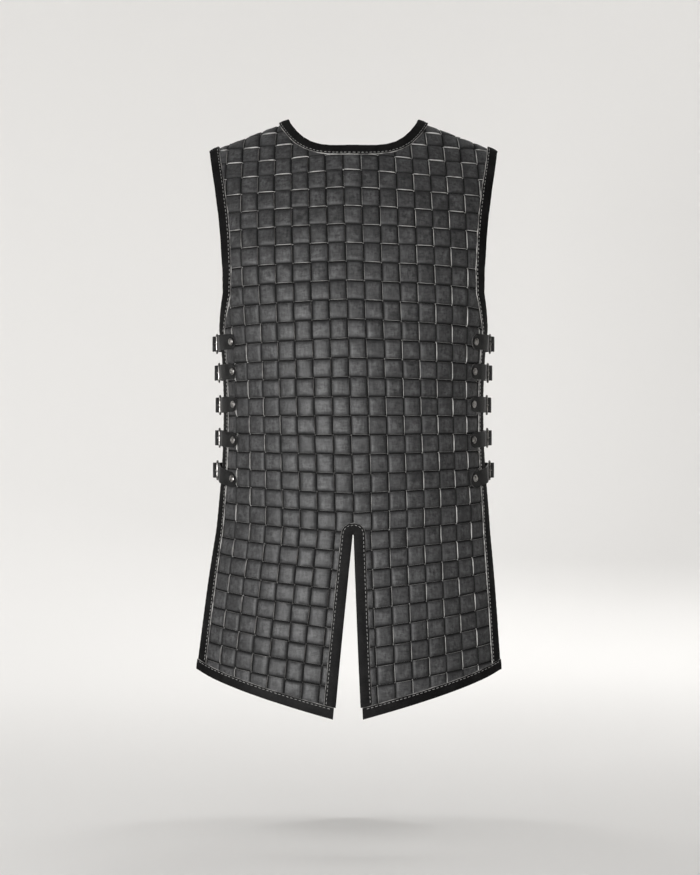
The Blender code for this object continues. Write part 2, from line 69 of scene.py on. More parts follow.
SLIT_TOP = -0.590
SLIT_HALF_WIDTH = 0.0030
SLIT_OPENING = 0.0175
HEM_AT_SLIT = -0.842
HEM_AT_SIDE = -0.781
SEAM_GAP = 0.0003
FORM = (
    # height, half_width, depth, squareness, sway, extra half width of the hidden side
    (0.030, 0.030, 0.018, 1.10, 0.0, 0.0),
    (0.000, 0.096, 0.036, 1.10, 0.0, 0.0),
    (-0.020, 0.148, 0.050, 1.12, 0.0, 0.0),
    (-0.044, 0.206, 0.064, 1.15, 0.0, 0.0),
    (-0.070, 0.236, 0.076, 1.30, 0.0, 0.0),
    (-0.100, 0.240, 0.086, 1.60, 0.0, 0.0),
    (-0.150, 0.231, 0.098, 2.00, 0.0, 0.0),
    (-0.200, 0.219, 0.108, 2.35, 0.0, 0.0),
    (-0.260, 0.203, 0.116, 2.45, 0.0, 0.0),
    (-0.320, 0.192, 0.119, 2.30, 0.0, 0.0),
    (-0.400, 0.187, 0.120, 2.15, 0.0, 0.0),
    (-0.480, 0.190, 0.122, 2.10, 0.0, 0.0),
    (-0.560, 0.202, 0.126, 2.10, 0.0, 0.006),
    (-0.660, 0.224, 0.132, 2.10, -0.003, 0.015),
    (-0.760, 0.243, 0.137, 2.10, -0.006, 0.025),
    (-0.900, 0.264, 0.143, 2.10, -0.009, 0.034),
)
ARMHOLE = (
    # half width across the front, height
    (0.2045, -0.0440),
    (0.2000, -0.0700),
    (0.1940, -0.1010),
    (0.1880, -0.1390),
    (0.1840, -0.1750),
    (0.1805, -0.2180),
    (0.1800, -0.2500),
)
ARMHOLE_END = -0.300


def smooth_table(table, column, height):
    """Read a column of a table at a height, with a smooth curve through its rows."""
    rows = sorted(table)
    heights = np.array([row[0] for row in rows])
    values = np.array([row[column] for row in rows])
    slopes = np.gradient(values, heights)
    place = np.clip(np.searchsorted(heights, height) - 1, 0, len(heights) - 2)
    span = heights[place + 1] - heights[place]
    t = np.clip((height - heights[place]) / span, 0.0, 1.0)
    start = values[place] * (1 + 2 * t) * (1 - t) ** 2 + values[place + 1] * t * t * (3 - 2 * t)
    return start + span * (slopes[place] * t * (1 - t) ** 2 - slopes[place + 1] * t * t * (1 - t))


def distances(points):
    """How far along a line of points each of them lies."""
    return np.concatenate([[0.0], np.cumsum(np.linalg.norm(np.diff(points, axis=0), axis=1))])


def unit(vectors):
    """A direction, or each of several, made one long."""
    return vectors / np.linalg.norm(vectors, axis=-1, keepdims=True)


class Form:
    """One side of the figure, with the columns and rows of the weave laid over it."""

    FINE_COLUMN = 0.125
    MIDDLE = int(COLUMNS_EACH_WAY / FINE_COLUMN)
    FINE_ROW = 0.1
    FIRST_ROW = TOP_ROW - 1.0
    OVER_SHOULDER = 0.030
    TOPMOST = 0.0295
    NEAR_TOP = (0.030, -0.080, -0.0005)
    BELOW = (-0.080, -0.8995, -0.0020)
    SECTION_POINTS = 240
    NORMAL_REACH = (2, -2)
    SIDE_ROWS_FROM = -0.28
    SIDE_ROWS_FADE = 0.10

    def __init__(self, facing):
        self.facing = facing
        heights = np.concatenate([np.arange(*self.NEAR_TOP), np.arange(*self.BELOW)])
        self.columns = np.arange(-COLUMNS_EACH_WAY, COLUMNS_EACH_WAY + 0.01, self.FINE_COLUMN)
        self.rows = np.arange(self.FIRST_ROW, ROWS + 1, self.FINE_ROW)
        places = np.zeros((len(heights), len(self.columns), 3))
        on_form = np.zeros((len(heights), len(self.columns)), dtype=bool)
        for index, height in enumerate(heights):
            arc, x, y = self.section(height)
            reach = self.arc_of_column(self.columns, height)
            on_form[index] = np.abs(reach) <= arc[-1]
            places[index, :, 0] = np.sign(reach) * np.interp(np.abs(reach), arc, x)
            places[index, :, 0] += smooth_table(FORM, 4, height)
            places[index, :, 1] = facing * np.interp(np.abs(reach), arc, y)
            places[index, :, 2] = height
        self.paths = []
        for index, column in enumerate(self.columns):
            off = np.flatnonzero(~on_form[:, index])
            first = off[-1] + 1 if len(off) else 0
            self.paths.append(self.column_path(column, places[first:, index]))
        self.net = np.array([
            np.stack([np.interp(self.rows, row, points[:, axis]) for axis in range(3)], axis=1)
            for points, row, _ in self.paths
        ])
        after, before = [self.neighbours(self.columns, reach) for reach in self.NORMAL_REACH]
        across = self.net[after] - self.net[before]
        after, before = [self.neighbours(self.rows, reach) for reach in self.NORMAL_REACH]
        down = self.net[:, after] - self.net[:, before]
        normals = np.cross(across, down) * facing
        self.normals = normals / np.maximum(np.linalg.norm(normals, axis=2), 1e-12)[:, :, None]

    @staticmethod
    def neighbours(stations, step):
        """The station a number of steps on from each, or the last there is."""
        return np.clip(np.arange(len(stations)) + step, 0, len(stations) - 1)

    def section(self, height):
        """Arc length, x and depth from the middle round to the side, at one height."""
        half_width, depth, squareness = [smooth_table(FORM, c, height) for c in (1, 2, 3)]
        if self.facing > 0:
            half_width = half_width + smooth_table(FORM, 5, height)
        angle = np.linspace(0.0, math.pi / 2, self.SECTION_POINTS)
        x = half_width * np.sin(angle) ** (2 / squareness)
        y = depth * np.cos(angle) ** (2 / squareness)
        y[-1] = 0.0
        order = np.argsort(x)
        arc = np.concatenate([[0.0], np.cumsum(np.hypot(np.diff(x[order]), np.diff(y[order])))])
        return arc, x[order], y[order]

    def weave_middle(self, height):
        """The column that lies on the middle line of the cut."""
        return WEAVE_LEAN * np.maximum(height - WEAVE_LEAN_END, 0.0)

    def arc_of_column(self, column, height):
        """How far round the section from its middle a column lies, the slit's halves parted."""
        arc = (column - self.weave_middle(height)) * UPRIGHT_PITCH
        fall = np.clip((SLIT_TOP - height) / (SLIT_TOP - HEM_AT_SLIT), 0.0, 1.1)
        return arc + SLIT_OPENING * fall * np.clip(arc / SLIT_HALF_WIDTH, -1.0, 1.0)

    def column_path(self, column, points):
        """Points down one column, from over the shoulder to below the hem, and their rows."""
        over = points[:1]
        if points[0][2] < self.TOPMOST:
            ridge = np.array([[points[0][0], 0.0, points[0][2] + 0.0002]])
            near = points[(points[0][2] - points[:, 2]) < self.OVER_SHOULDER]
            over = np.concatenate([near[::-1] * (1, -1, 1), ridge])
            points = np.concatenate([over, points])
        steps = np.linalg.norm(np.diff(points, axis=0), axis=1)
        spread = min(abs(column) / SIDE_COLUMNS, 1.0)
        low = np.clip((self.SIDE_ROWS_FROM - points[1:, 2]) / self.SIDE_ROWS_FADE, 0.0, 1.0)
        side_pitch = CROSSING_PITCH + (SIDE_CROSSING_PITCH - CROSSING_PITCH) * low
        pitch = CROSSING_PITCH * (1 - spread) + side_pitch * spread
        row = np.concatenate([[0.0], np.cumsum(steps / pitch)])
        level = np.interp(-LEVEL_HEIGHT, -points[len(over):, 2], row[len(over):])
        return points, row - level + LEVEL_ROW, len(over)

    def bend(self, x, y, lift):
        """Carry points of the flat pattern, and their heights over it, to the garment."""
        c = (x / UPRIGHT_PITCH - self.columns[0]) / self.FINE_COLUMN
        r = (-y / CROSSING_PITCH - self.rows[0]) / self.FINE_ROW
        c, r = np.clip(c, 0, len(self.columns) - 1.001), np.clip(r, 0, len(self.rows) - 1.001)
        # Points between the slit's edges are carried on from their own side of it
        i = c.astype(int)
        i = i + (i == self.MIDDLE) - (i == self.MIDDLE - 1)
        j = r.astype(int)
        u = (c - i)[..., None]
        v = (r - j)[..., None]
        place, normal = [
            (net[i, j] * (1 - v) + net[i, j + 1] * v) * (1 - u)
            + (net[i + 1, j] * (1 - v) + net[i + 1, j + 1] * v) * u
            for net in (self.net, self.normals)
        ]
        normal = normal / np.maximum(np.linalg.norm(normal, axis=-1), 1e-9)[..., None]
        place = place + normal * np.asarray(lift)[..., None]
        place[..., 1] = self.facing * np.maximum(self.facing * place[..., 1], SEAM_GAP)
        return place

    def between_columns(self, column, read):
        """What is read off the two columns beside this one, shared between them."""
        place = np.clip((column - self.columns[0]) / self.FINE_COLUMN, 0, len(self.columns) - 1.001)
        i = int(place)
        low, high = read(self.paths[i]), read(self.paths[i + 1])
        return low + (high - low) * (place - i)

    def flat(self, column, height):
        """Flat place of a column at a height."""
        def row_at(path):
            points, rows, start = path
            return np.interp(-height, -points[start:, 2], rows[start:])

        row = self.between_columns(column, row_at)
        return column * UPRIGHT_PITCH, -row * CROSSING_PITCH

    def flat_at_width(self, across, height):
        """Flat place of a point that the front view shows at a width and height."""
        arc, x, y = self.section(height)
        reach = np.interp(abs(across), x, arc) * math.copysign(1.0, across)
        return self.flat(reach / UPRIGHT_PITCH + self.weave_middle(height), height)

    def ridge_row(self, column):
        """The row at which a column crosses the shoulder's top."""
        return self.between_columns(column, lambda path: path[1][path[2] - 1])

    def ridge(self, column):
        """Flat place of the shoulder's top on a column, just down this side of it."""
        return column * UPRIGHT_PITCH, -self.ridge_row(column) * CROSSING_PITCH - SEAM_GAP


def corner_column(form, side, end):
    """The column at a shoulder's neck corner (end 0) or arm corner (end 1)."""
    across, height = ((NECK_HALF_WIDTH, -0.0008), ARMHOLE[0])[end]
    arc, x, y = form.section(height)
    reach = np.interp(min(across, x[-1]), x, arc)
    return side * reach / UPRIGHT_PITCH + form.weave_middle(height)


def shoulder_line(form, side):
    """Flat points along the shoulder's top, from the neck to the arm."""
    start = corner_column(form, side, 0)
    end = corner_column(form, side, 1)
    return [form.ridge(start + (end - start) * t) for t in np.linspace(0.0, 1.0, 6)]


def neck_line(form):
    """Flat points along the neck, from the left shoulder to the right."""
    points = [form.ridge(corner_column(form, -1, 0))]
    for turn in np.linspace(-1.0, 1.0, 19)[1:-1]:
        across = NECK_HALF_WIDTH * math.sin(turn * math.pi / 2)
        height = -NECK_DROP * (1 - abs(across / NECK_HALF_WIDTH) ** NECK_POWER)
        points.append(form.flat_at_width(across, height))
    return points + [form.ridge(corner_column(form, 1, 0))]


def side_line(form, side):
    """Flat points from the shoulder down the armhole and the side edge to the hem."""
    points = [shoulder_line(form, side)[-1]]
    for across, height in ARMHOLE[1:]:
        points.append(form.flat_at_width(side * across, height))
    for height in np.arange(ARMHOLE_END, HEM_AT_SIDE + 0.010, -0.0245):
        points.append(form.flat(side * SIDE_COLUMNS + form.weave_middle(height), height))
    return points + [form.flat(side * SIDE_COLUMNS, HEM_AT_SIDE)]


def hem_line(form, side):
    """Flat points along the hem, from the side to the slit."""
    points = []
    slit = SLIT_HALF_WIDTH / UPRIGHT_PITCH
    for t in np.linspace(0.0, 1.0, 10):
        height = HEM_AT_SIDE + (HEM_AT_SLIT - HEM_AT_SIDE) * t ** 0.9
        points.append(form.flat(side * (SIDE_COLUMNS + (slit - SIDE_COLUMNS) * t), height))
    return points


def slit_line(form):
    """Flat points up the right side of the slit, round its top and down the left."""
    slit = SLIT_HALF_WIDTH / UPRIGHT_PITCH
    heights = np.linspace(HEM_AT_SLIT, SLIT_TOP, 9)
    right = [form.flat(slit, height) for height in heights]
    left = [form.flat(-slit, height) for height in heights]
    top = (right[-1][1] + left[-1][1]) / 2
    turns = np.linspace(0.0, math.pi, 9)[1:-1]
    arch = [(SLIT_HALF_WIDTH * math.cos(turn), top + SLIT_HALF_WIDTH * math.sin(turn)) for turn in turns]
    return right + arch + left[::-1]


def nearest_and_inside(points, loop, bound):
    """Which flat points lie inside a closed loop, and how far each is from the bound lines."""
    x, y = points[..., 0], points[..., 1]
    inside = np.zeros(x.shape, dtype=bool)
    for (ax, ay), (bx, by) in zip(loop, np.roll(loop, -1, axis=0)):
        crosses = (ay > y) != (by > y)
        if ay != by:
            inside ^= crosses & (x < ax + (y - ay) * (bx - ax) / (by - ay))
    nearest = np.full(x.shape, 1.0)
    for line in bound:
        for (ax, ay), (bx, by) in zip(line[:-1], line[1:]):
            span = (bx - ax) ** 2 + (by - ay) ** 2
            t = np.clip(((x - ax) * (bx - ax) + (y - ay) * (by - ay)) / span, 0.0, 1.0)
            nearest = np.minimum(nearest, np.hypot(x - ax - t * (bx - ax), y - ay - t * (by - ay)))
    return inside, nearest


STRIP_LEATHER = 0.0029
UNDER_LIFT = 0.0014
OVER_LIFT = 0.0048
PAD_CROWN = 0.00055
EDGE_ROUNDING = 0.00025
SWING = 3.0
EARLY_DIP = 0.13
SQUEEZE = 0.80
SEAM_SQUEEZE = 0.50
UPRIGHT_WIDTH = 0.0238
CROSSING_WIDTH = 0.0261
EDGE_SLOPE = 0.00035
WANDER = 0.00035
WANDER_KNOTS = 24
CUT_BACK = 0.0030
FIBRE_HEIGHT = 0.00010
PRESSED_FROM = 0.010
PRESSED_FADE = 0.016
SEAM_FADE = 0.014
RIDGE_COLUMNS = np.linspace(-COLUMNS_EACH_WAY, COLUMNS_EACH_WAY, 321)
CELL_STATIONS = (0.0, 0.05, 0.13, 0.27, 0.5, 0.73, 0.87, 0.95)
WIDTH_STATIONS = (0.0, 0.025, 0.22, 0.5, 0.78, 0.975, 1.0)
dice = np.random.default_rng(17)


def wandering(length, reach):
    """A slow random curve along a strip, for an edge that was cut and laid by hand."""
    knots = dice.uniform(-reach, reach, WANDER_KNOTS)
    return np.interp(np.linspace(0.0, WANDER_KNOTS - 1, length), np.arange(WANDER_KNOTS), knots)


def strip_grid(form, number, upright, loop, bound):
    """One strip as corner places, faces and shading values, cut where it leaves the pattern."""
    cells = np.arange(TOP_ROW, ROWS + 1) if upright else np.arange(-COLUMNS_EACH_WAY, COLUMNS_EACH_WAY)
    along = np.concatenate([cell + np.array(CELL_STATIONS) for cell in cells])
    across = np.array(WIDTH_STATIONS)
    cell = np.floor(along + 1e-9)
    share = along - cell
    over = np.where((number + cell) % 2 == (0 if upright else 1), 1.0, -1.0)
    arch = np.sin(math.pi * share)
    rise = np.where(over > 0, (1 + EARLY_DIP) * arch - EARLY_DIP, -arch - EARLY_DIP)
    swing = np.clip(np.tanh(SWING * rise) / math.tanh(SWING), -1.0, 1.0)
    width = (UPRIGHT_WIDTH if upright else CROSSING_WIDTH) + wandering(len(along), WANDER)
    middle = (number + 0.5) * (UPRIGHT_PITCH if upright else -CROSSING_PITCH)
    middle = middle + wandering(len(along), WANDER)
    offset = middle[:, None] + (across - 0.5) * width[:, None] * (1 if upright else -1)
    if upright:
        x, y = offset, -along[:, None] * CROSSING_PITCH + 0 * offset
    else:
        x, y = along[:, None] * UPRIGHT_PITCH + 0 * offset, offset
    tops = np.array([-form.ridge_row(column) for column in RIDGE_COLUMNS]) * CROSSING_PITCH
    ridge = np.interp(x / UPRIGHT_PITCH, RIDGE_COLUMNS, tops) - SEAM_GAP
    past_ridge = y > ridge
    y = np.minimum(y, ridge)
    crown = PAD_CROWN * np.clip(swing, 0.0, 1.0)[:, None] * (1 - (2 * across - 1) ** 2)
    lift = (UNDER_LIFT + OVER_LIFT) / 2 + (OVER_LIFT - UNDER_LIFT) / 2 * swing[:, None] + crown
    outermost = np.abs(across - 0.5) > 0.499
    rounding = EDGE_ROUNDING * outermost
    rough_up = FIBRE_HEIGHT * dice.standard_normal(lift.shape)
    near = nearest_and_inside(np.stack([x, y], axis=2), loop, bound)[1]
    squeeze = SQUEEZE + (1 - SQUEEZE) * np.clip((near - PRESSED_FROM) / PRESSED_FADE, 0.0, 1.0)
    by_seam = np.clip((ridge - y) / SEAM_FADE, 0.0, 1.0)
    squeeze = squeeze * (SEAM_SQUEEZE + (1 - SEAM_SQUEEZE) * by_seam)
    inset = EDGE_SLOPE * np.sign(0.5 - across) * outermost * (1 if upright else -1)
    over_x, over_y = (x + inset, y) if upright else (x, np.minimum(y + inset, ridge))
    top = form.bend(over_x, over_y, (lift + STRIP_LEATHER / 2 - rounding + rough_up) * squeeze)
    under = form.bend(x, y, (lift - STRIP_LEATHER / 2) * squeeze)
    centre = np.stack([x, y], axis=2)
    centre = (centre[:-1, :-1] + centre[1:, :-1] + centre[:-1, 1:] + centre[1:, 1:]) / 4
    inside, nearest = nearest_and_inside(centre, loop, bound)
    dead = past_ridge[:-1, :-1] & past_ridge[1:, :-1] & past_ridge[:-1, 1:] & past_ridge[1:, 1:]
    kept = inside & (nearest > CUT_BACK) & ~dead
    rows, columns = x.shape
    index = np.arange(rows * columns).reshape(rows, columns)
    low = index + rows * columns
    a, b, c, d = index[:-1, :-1], index[1:, :-1], index[1:, 1:], index[:-1, 1:]
    faces = [np.stack([a, b, c, d], axis=2)[kept]]
    faces.append(np.stack([low[1:, :-1], low[:-1, :-1], low[:-1, 1:], low[1:, 1:]], axis=2)[kept])
    walls = []
    pad = np.pad(kept, 1)
    for change, first, second in (
        (pad[1:-1, 1:] != pad[1:-1, :-1], index[:-1], index[1:]),
        (pad[1:, 1:-1] != pad[:-1, 1:-1], index[:, :-1], index[:, 1:]),
    ):
        ends = np.stack([first[change], second[change]], axis=1)
        walls.append(np.column_stack([ends, ends[:, ::-1] + rows * columns]))
    value = np.stack(np.broadcast_arrays(
        across[None, :] * np.ones((rows, 1)),
        np.clip(swing, 0.0, 1.0)[:, None] * np.ones((1, columns)),
        np.full((rows, columns), dice.uniform(0.0, 1.0)),
    ), axis=2)
    places = np.concatenate([top.reshape(-1, 3), under.reshape(-1, 3)])
    # The hidden side is given no crown, so the painted dip shade makes it darkest all over
    value = np.concatenate([value.reshape(-1, 3), value.reshape(-1, 3) * (1, 0, 1)])
    return places, np.concatenate(faces), np.concatenate(walls), value


def solid_mesh(name, places, faces, slots, values, materials):
    """A piece from corner places and faces, with each face's material and shading values."""
    used = np.unique(np.concatenate([np.ravel(face) for face in faces]))
    renumber = np.zeros(len(places), dtype=int)
    renumber[used] = np.arange(len(used))
    mesh = bpy.data.meshes.new(name)
    mesh.from_pydata(places[used].tolist(), [], [renumber[np.array(face)].tolist() for face in faces])
    mesh.polygons.foreach_set("material_index", np.array(slots, dtype=np.int32))
    if values is not None:
        layer = mesh.attributes.new("strip", "FLOAT_VECTOR", "POINT")
        layer.data.foreach_set("vector", values[used].astype(np.float32).ravel())
    for material in materials:
        mesh.materials.append(material)
    return finished(name, mesh)


WELD = 0.00001
CREASE = math.radians(38.0)


def finished(name, mesh):
    """Weld, turn the faces outwards, smooth all but the creases, and show the piece."""
    work = bmesh.new()
    work.from_mesh(mesh)
    bmesh.ops.remove_doubles(work, verts=work.verts, dist=WELD)
    bmesh.ops.dissolve_degenerate(work, edges=work.edges, dist=WELD)
    bmesh.ops.recalc_face_normals(work, faces=work.faces)
    work.to_mesh(mesh)
    work.free()
    mesh.polygons.foreach_set("use_smooth", [True] * len(mesh.polygons))
    mesh.set_sharp_from_angle(angle=CREASE)
    piece = bpy.data.objects.new(name, mesh)
    bpy.context.scene.collection.objects.link(piece)
    return piece


class Shade:
    """One output socket of a material, so that sums on it read as plain sums."""

    def __init__(self, tree, socket=None):
        self.tree = tree
        self.socket = socket

    def node(self, kind, settings=None, sockets=None, output=0):
        """Add a node: its settings first, then the values or links of its sockets."""
        item = self.tree.nodes.new(kind)
        for name, value in (settings or {}).items():
            setattr(item, name, value)
        for name, value in (sockets or {}).items():
            if isinstance(value, Shade):
                self.tree.links.new(value.socket, item.inputs[name])
            else:
                item.inputs[name].default_value = value
        return Shade(self.tree, item.outputs[output])

    def maths(self, operation, first, second=0.0):
        return self.node("ShaderNodeMath", {"operation": operation}, {0: first, 1: second})

    def __add__(self, other):
        return self.maths("ADD", self, other)

    __radd__ = __add__

    def __mul__(self, other):
        return self.maths("MULTIPLY", self, other)

    __rmul__ = __mul__

    def __sub__(self, other):
        return self.maths("SUBTRACT", self, other)

    def __rsub__(self, other):
        return self.maths("SUBTRACT", other, self)

    def steep(self, low, high):
        """0 below low, 1 above high, smooth between."""
        settings = {"interpolation_type": "SMOOTHSTEP"}
        return self.node("ShaderNodeMapRange", settings, {0: self, 1: low, 2: high})

    def blend(self, first, second):
        """Mix two colours by this value."""
        return self.node("ShaderNodeMix", {"data_type": "RGBA"}, {0: self, 6: first, 7: second}, 2)

    def noise(self, scale, detail=3.0, roughness=0.5, stretch=None):
        """Soft random values in the object's own metres, drawn out where stretch is small."""
        place = self.node("ShaderNodeTexCoord", output=3)
        if stretch:
            sockets = {0: place, 1: stretch}
            place = self.node("ShaderNodeVectorMath", {"operation": "MULTIPLY"}, sockets)
        sockets = {"Vector": place, "Scale": scale, "Detail": detail, "Roughness": roughness}
        return self.node("ShaderNodeTexNoise", None, sockets)

    def pebbles(self, scale):
        """Distance from the middles of small cells, for the grain of hide."""
        place = self.node("ShaderNodeTexCoord", output=3)
        sockets = {"Vector": place, "Scale": scale, "Randomness": 0.9}
        return self.node("ShaderNodeTexVoronoi", None, sockets)


def surface(name, **constants):
    """A new material: its node tree and its shader, with constants set on the shader."""
    material = bpy.data.materials.new(name)
    material.use_nodes = True
    shader = material.node_tree.nodes["Principled BSDF"]
    for socket, value in constants.items():
        shader.inputs[socket.replace("_", " ")].default_value = value
    return material, shader, Shade(material.node_tree)


def wire(shade, shader, bump, strength, distance, **links):
    """Join what varies to the shader, and the relief through one Bump node."""
    for socket, value in links.items():
        shade.tree.links.new(value.socket, shader.inputs[socket.replace("_", " ")])
    normal = shade.node("ShaderNodeBump", None, {"Height": bump, "Strength": strength, "Distance": distance})
    shade.tree.links.new(normal.socket, shader.inputs["Normal"])


def woven_leather():
    """Charcoal grain leather, smoother on the crowns; painted shade darkens it where it dips under and along
    its edges, and a patchy painted highlight with wear makes the crowns greyer.
    """
    material, shader, shade = surface("woven_leather", Specular_IOR_Level=0.22)
    strip = shade.node("ShaderNodeAttribute", {"attribute_name": "strip"}, output=1)
    across, crown, tint = [
        shade.node("ShaderNodeSeparateXYZ", None, {0: strip}, axis) for axis in range(3)
    ]
    edge = (across - 0.5) * (across - 0.5) * 4.0
    # Painted highlight and wear: the crowns, away from the edges, are made paler in patches
    crown_wear_and_highlight = crown.steep(0.55, 1.0) * (1.0 - edge.steep(0.15, 0.95))
    crown_wear_and_highlight = crown_wear_and_highlight * shade.noise(60.0, 4.0, 0.6).steep(0.25, 0.8)
    cloud = shade.noise(22.0, 3.0, 0.55)
    streaks = [shade.noise(300.0, 4.0, 0.68, stretch) for stretch in ((1.0, 1.0, 0.3), (0.3, 1.0, 1.0))]
    mottle = (streaks[0] + streaks[1]) * 0.5
    grain = shade.pebbles(1150.0)
    fibre = shade.noise(900.0, 2.0, 0.6)
    # Painted shade: darkest where the strip dips under its neighbour and along its edges at the gaps, times
    # real tone that varies per strip and at random
    depth = crown.steep(0.0, 0.6) * (1.0 - edge.steep(0.86, 1.0) * 0.6)
    depth = depth * (tint * 0.4 + 0.6) * (cloud * 0.6 + 0.7)
    depth = depth * (mottle.steep(0.36, 0.64) * 0.65 + 0.50)
    colour = depth.blend((0.0015, 0.0015, 0.0016, 1.0), (0.026, 0.026, 0.0267, 1.0))
    crown_wear_and_highlight = crown_wear_and_highlight * mottle.steep(0.36, 0.62) * 0.8
    colour = crown_wear_and_highlight.blend(colour, (0.080, 0.080, 0.0815, 1.0))
    colour = (fibre.steep(0.60, 0.80) * 0.25).blend(colour, (0.13, 0.13, 0.13, 1.0))
    rough = cloud * 0.12 + fibre * 0.16 + 0.60 - crown.steep(0.0, 0.7) * 0.27
    relief = grain * 0.7 + fibre * 0.6 + mottle * 1.2 + shade.noise(140.0, 3.0) * 1.4
    wire(shade, shader, relief, 0.35, 0.0004, Base_Color=colour, Roughness=rough)
    return material


def cut_edge():
    """The raw side of a strip: pale grey fibre, rubbed bright in places."""
    material, shader, shade = surface("cut_leather_edge", IOR=1.45)
    fibre = shade.noise(700.0, 4.0, 0.7)
    patch = shade.noise(55.0, 3.0, 0.6)
    pale = patch.steep(0.35, 0.65) * 0.65 + fibre * 0.35
    colour = pale.blend((0.11, 0.108, 0.105, 1.0), (0.38, 0.376, 0.366, 1.0))
    wire(shade, shader, fibre, 0.5, 0.0003, Base_Color=colour, Roughness=fibre * 0.2 + 0.55)
    return material


STRIP_SKIN = woven_leather()
STRIP_SIDE = cut_edge()


def add_strips(form, where, upright):
    """All the strips of one direction in one panel, as one piece."""
    lines = {"neck": neck_line(form), "slit": slit_line(form)}
    lines["right"], lines["left"] = side_line(form, 1), side_line(form, -1)
    lines["hem_right"], lines["hem_left"] = hem_line(form, 1), hem_line(form, -1)
    loop = lines["neck"] + shoulder_line(form, 1)[1:] + lines["right"][1:] + lines["hem_right"][1:]
    loop += lines["slit"][1:] + lines["hem_left"][::-1][1:] + lines["left"][::-1][1:]
    loop += shoulder_line(form, -1)[::-1][1:-1]
    places, values, faces, slots = [], [], [], []
    count = 0
    numbers = range(-COLUMNS_EACH_WAY, COLUMNS_EACH_WAY) if upright else range(TOP_ROW, ROWS + 1)
    for number in numbers:
        corners, skins, walls, value = strip_grid(form, number, upright, np.array(loop), lines.values())
        if len(skins) == 0:
            continue
        places.append(corners)
        values.append(value)
        faces += (skins + count).tolist() + (walls + count).tolist()
        slots += [0] * len(skins) + [1] * len(walls)
        count += len(corners)
    name = where + ("_uprights" if upright else "_crossings")
    skins = (STRIP_SKIN, STRIP_SIDE)
    piece = solid_mesh(name, np.concatenate(places), faces, slots, np.concatenate(values), skins)
    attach(piece, "root")
    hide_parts(where + "_panel")


forms = {"front": Form(-1), "back": Form(1)}
for where, form in forms.items():
    for upright in (True, False):
        add_strips(form, where, upright)


# Folded bindings
# Soft black leather strips 28 mm wide, folded over every cut edge and sewn through near their inner
# edge, whose raw side shows as a thin grey line. The hem's ends stand out as small tabs.
BINDING_WIDTH = 0.014
BINDING_LEATHER = 0.0014
BINDING_TOP = 0.0051
BINDING_LOW = -0.0003
BINDING_EDGE_GAP = 0.0010
BINDING_STATION = 0.0030
BINDING_WAVE = 0.00035
HEM_TAB = 0.0030
PUCKER = 0.00012
END_STATIONS = 6
LEAST_COSINE = 0.35
STITCH_PITCH = 0.0058
STITCH_LENGTH = 0.0040
STITCH_RADIUS = 0.00036
STITCH_INSET = 0.0030
STITCH_WANDER = 0.0003
STITCH_SIDES = 6
STITCH_RINGS = (
    # place along the stitch, share of its radius, height over the leather
    (-0.5, 0.15, -0.0004),
    (-0.38, 0.85, 0.0001),
    (0.0, 1.0, 0.00025),
    (0.38, 0.85, 0.0001),
    (0.5, 0.15, -0.0004),
)


def spaced(points, step):
    """Even points along a flat line."""
    points = np.array(points)
    along = distances(points)
    places = np.linspace(0.0, along[-1], max(int(round(along[-1] / step)), 2) + 1)
    return np.stack([np.interp(places, along, points[:, axis]) for axis in (0, 1)], axis=1)


def ring_faces(rings, sides, start=0, closed=False):
    """Faces between rings of corners that follow one another, counted from start."""
    faces = []
    for k in range(rings if closed else rings - 1):
        here, there = start + k * sides, start + (k + 1) % rings * sides
        for m in range(sides):
            n = (m + 1) % sides
            faces.append((here + m, here + n, there + n, there + m))
    return faces


def inward_directions(line, inside, first=None, last=None):
    """Unit flat directions into the panel at each station, the ends set where given."""
    tangent = np.pad(np.gradient(line, axis=0), ((2, 2), (0, 0)), "edge")
    tangent = np.stack([np.convolve(tangent[:, k], np.ones(5) / 5, "valid") for k in (0, 1)], axis=1)
    normal = unit(np.stack([-tangent[:, 1], tangent[:, 0]], axis=1) * inside)
    for end, wanted in ((0, first), (-1, last)):
        if wanted is None:
            continue
        wanted = unit(np.array(wanted))
        wanted = wanted / max(LEAST_COSINE, float(wanted @ normal[end]))
        reach = min(END_STATIONS, len(line) // 3)
        for k in range(reach):
            index = k if end == 0 else -1 - k
            normal[index] = wanted + (normal[index] - wanted) * k / reach
    return normal


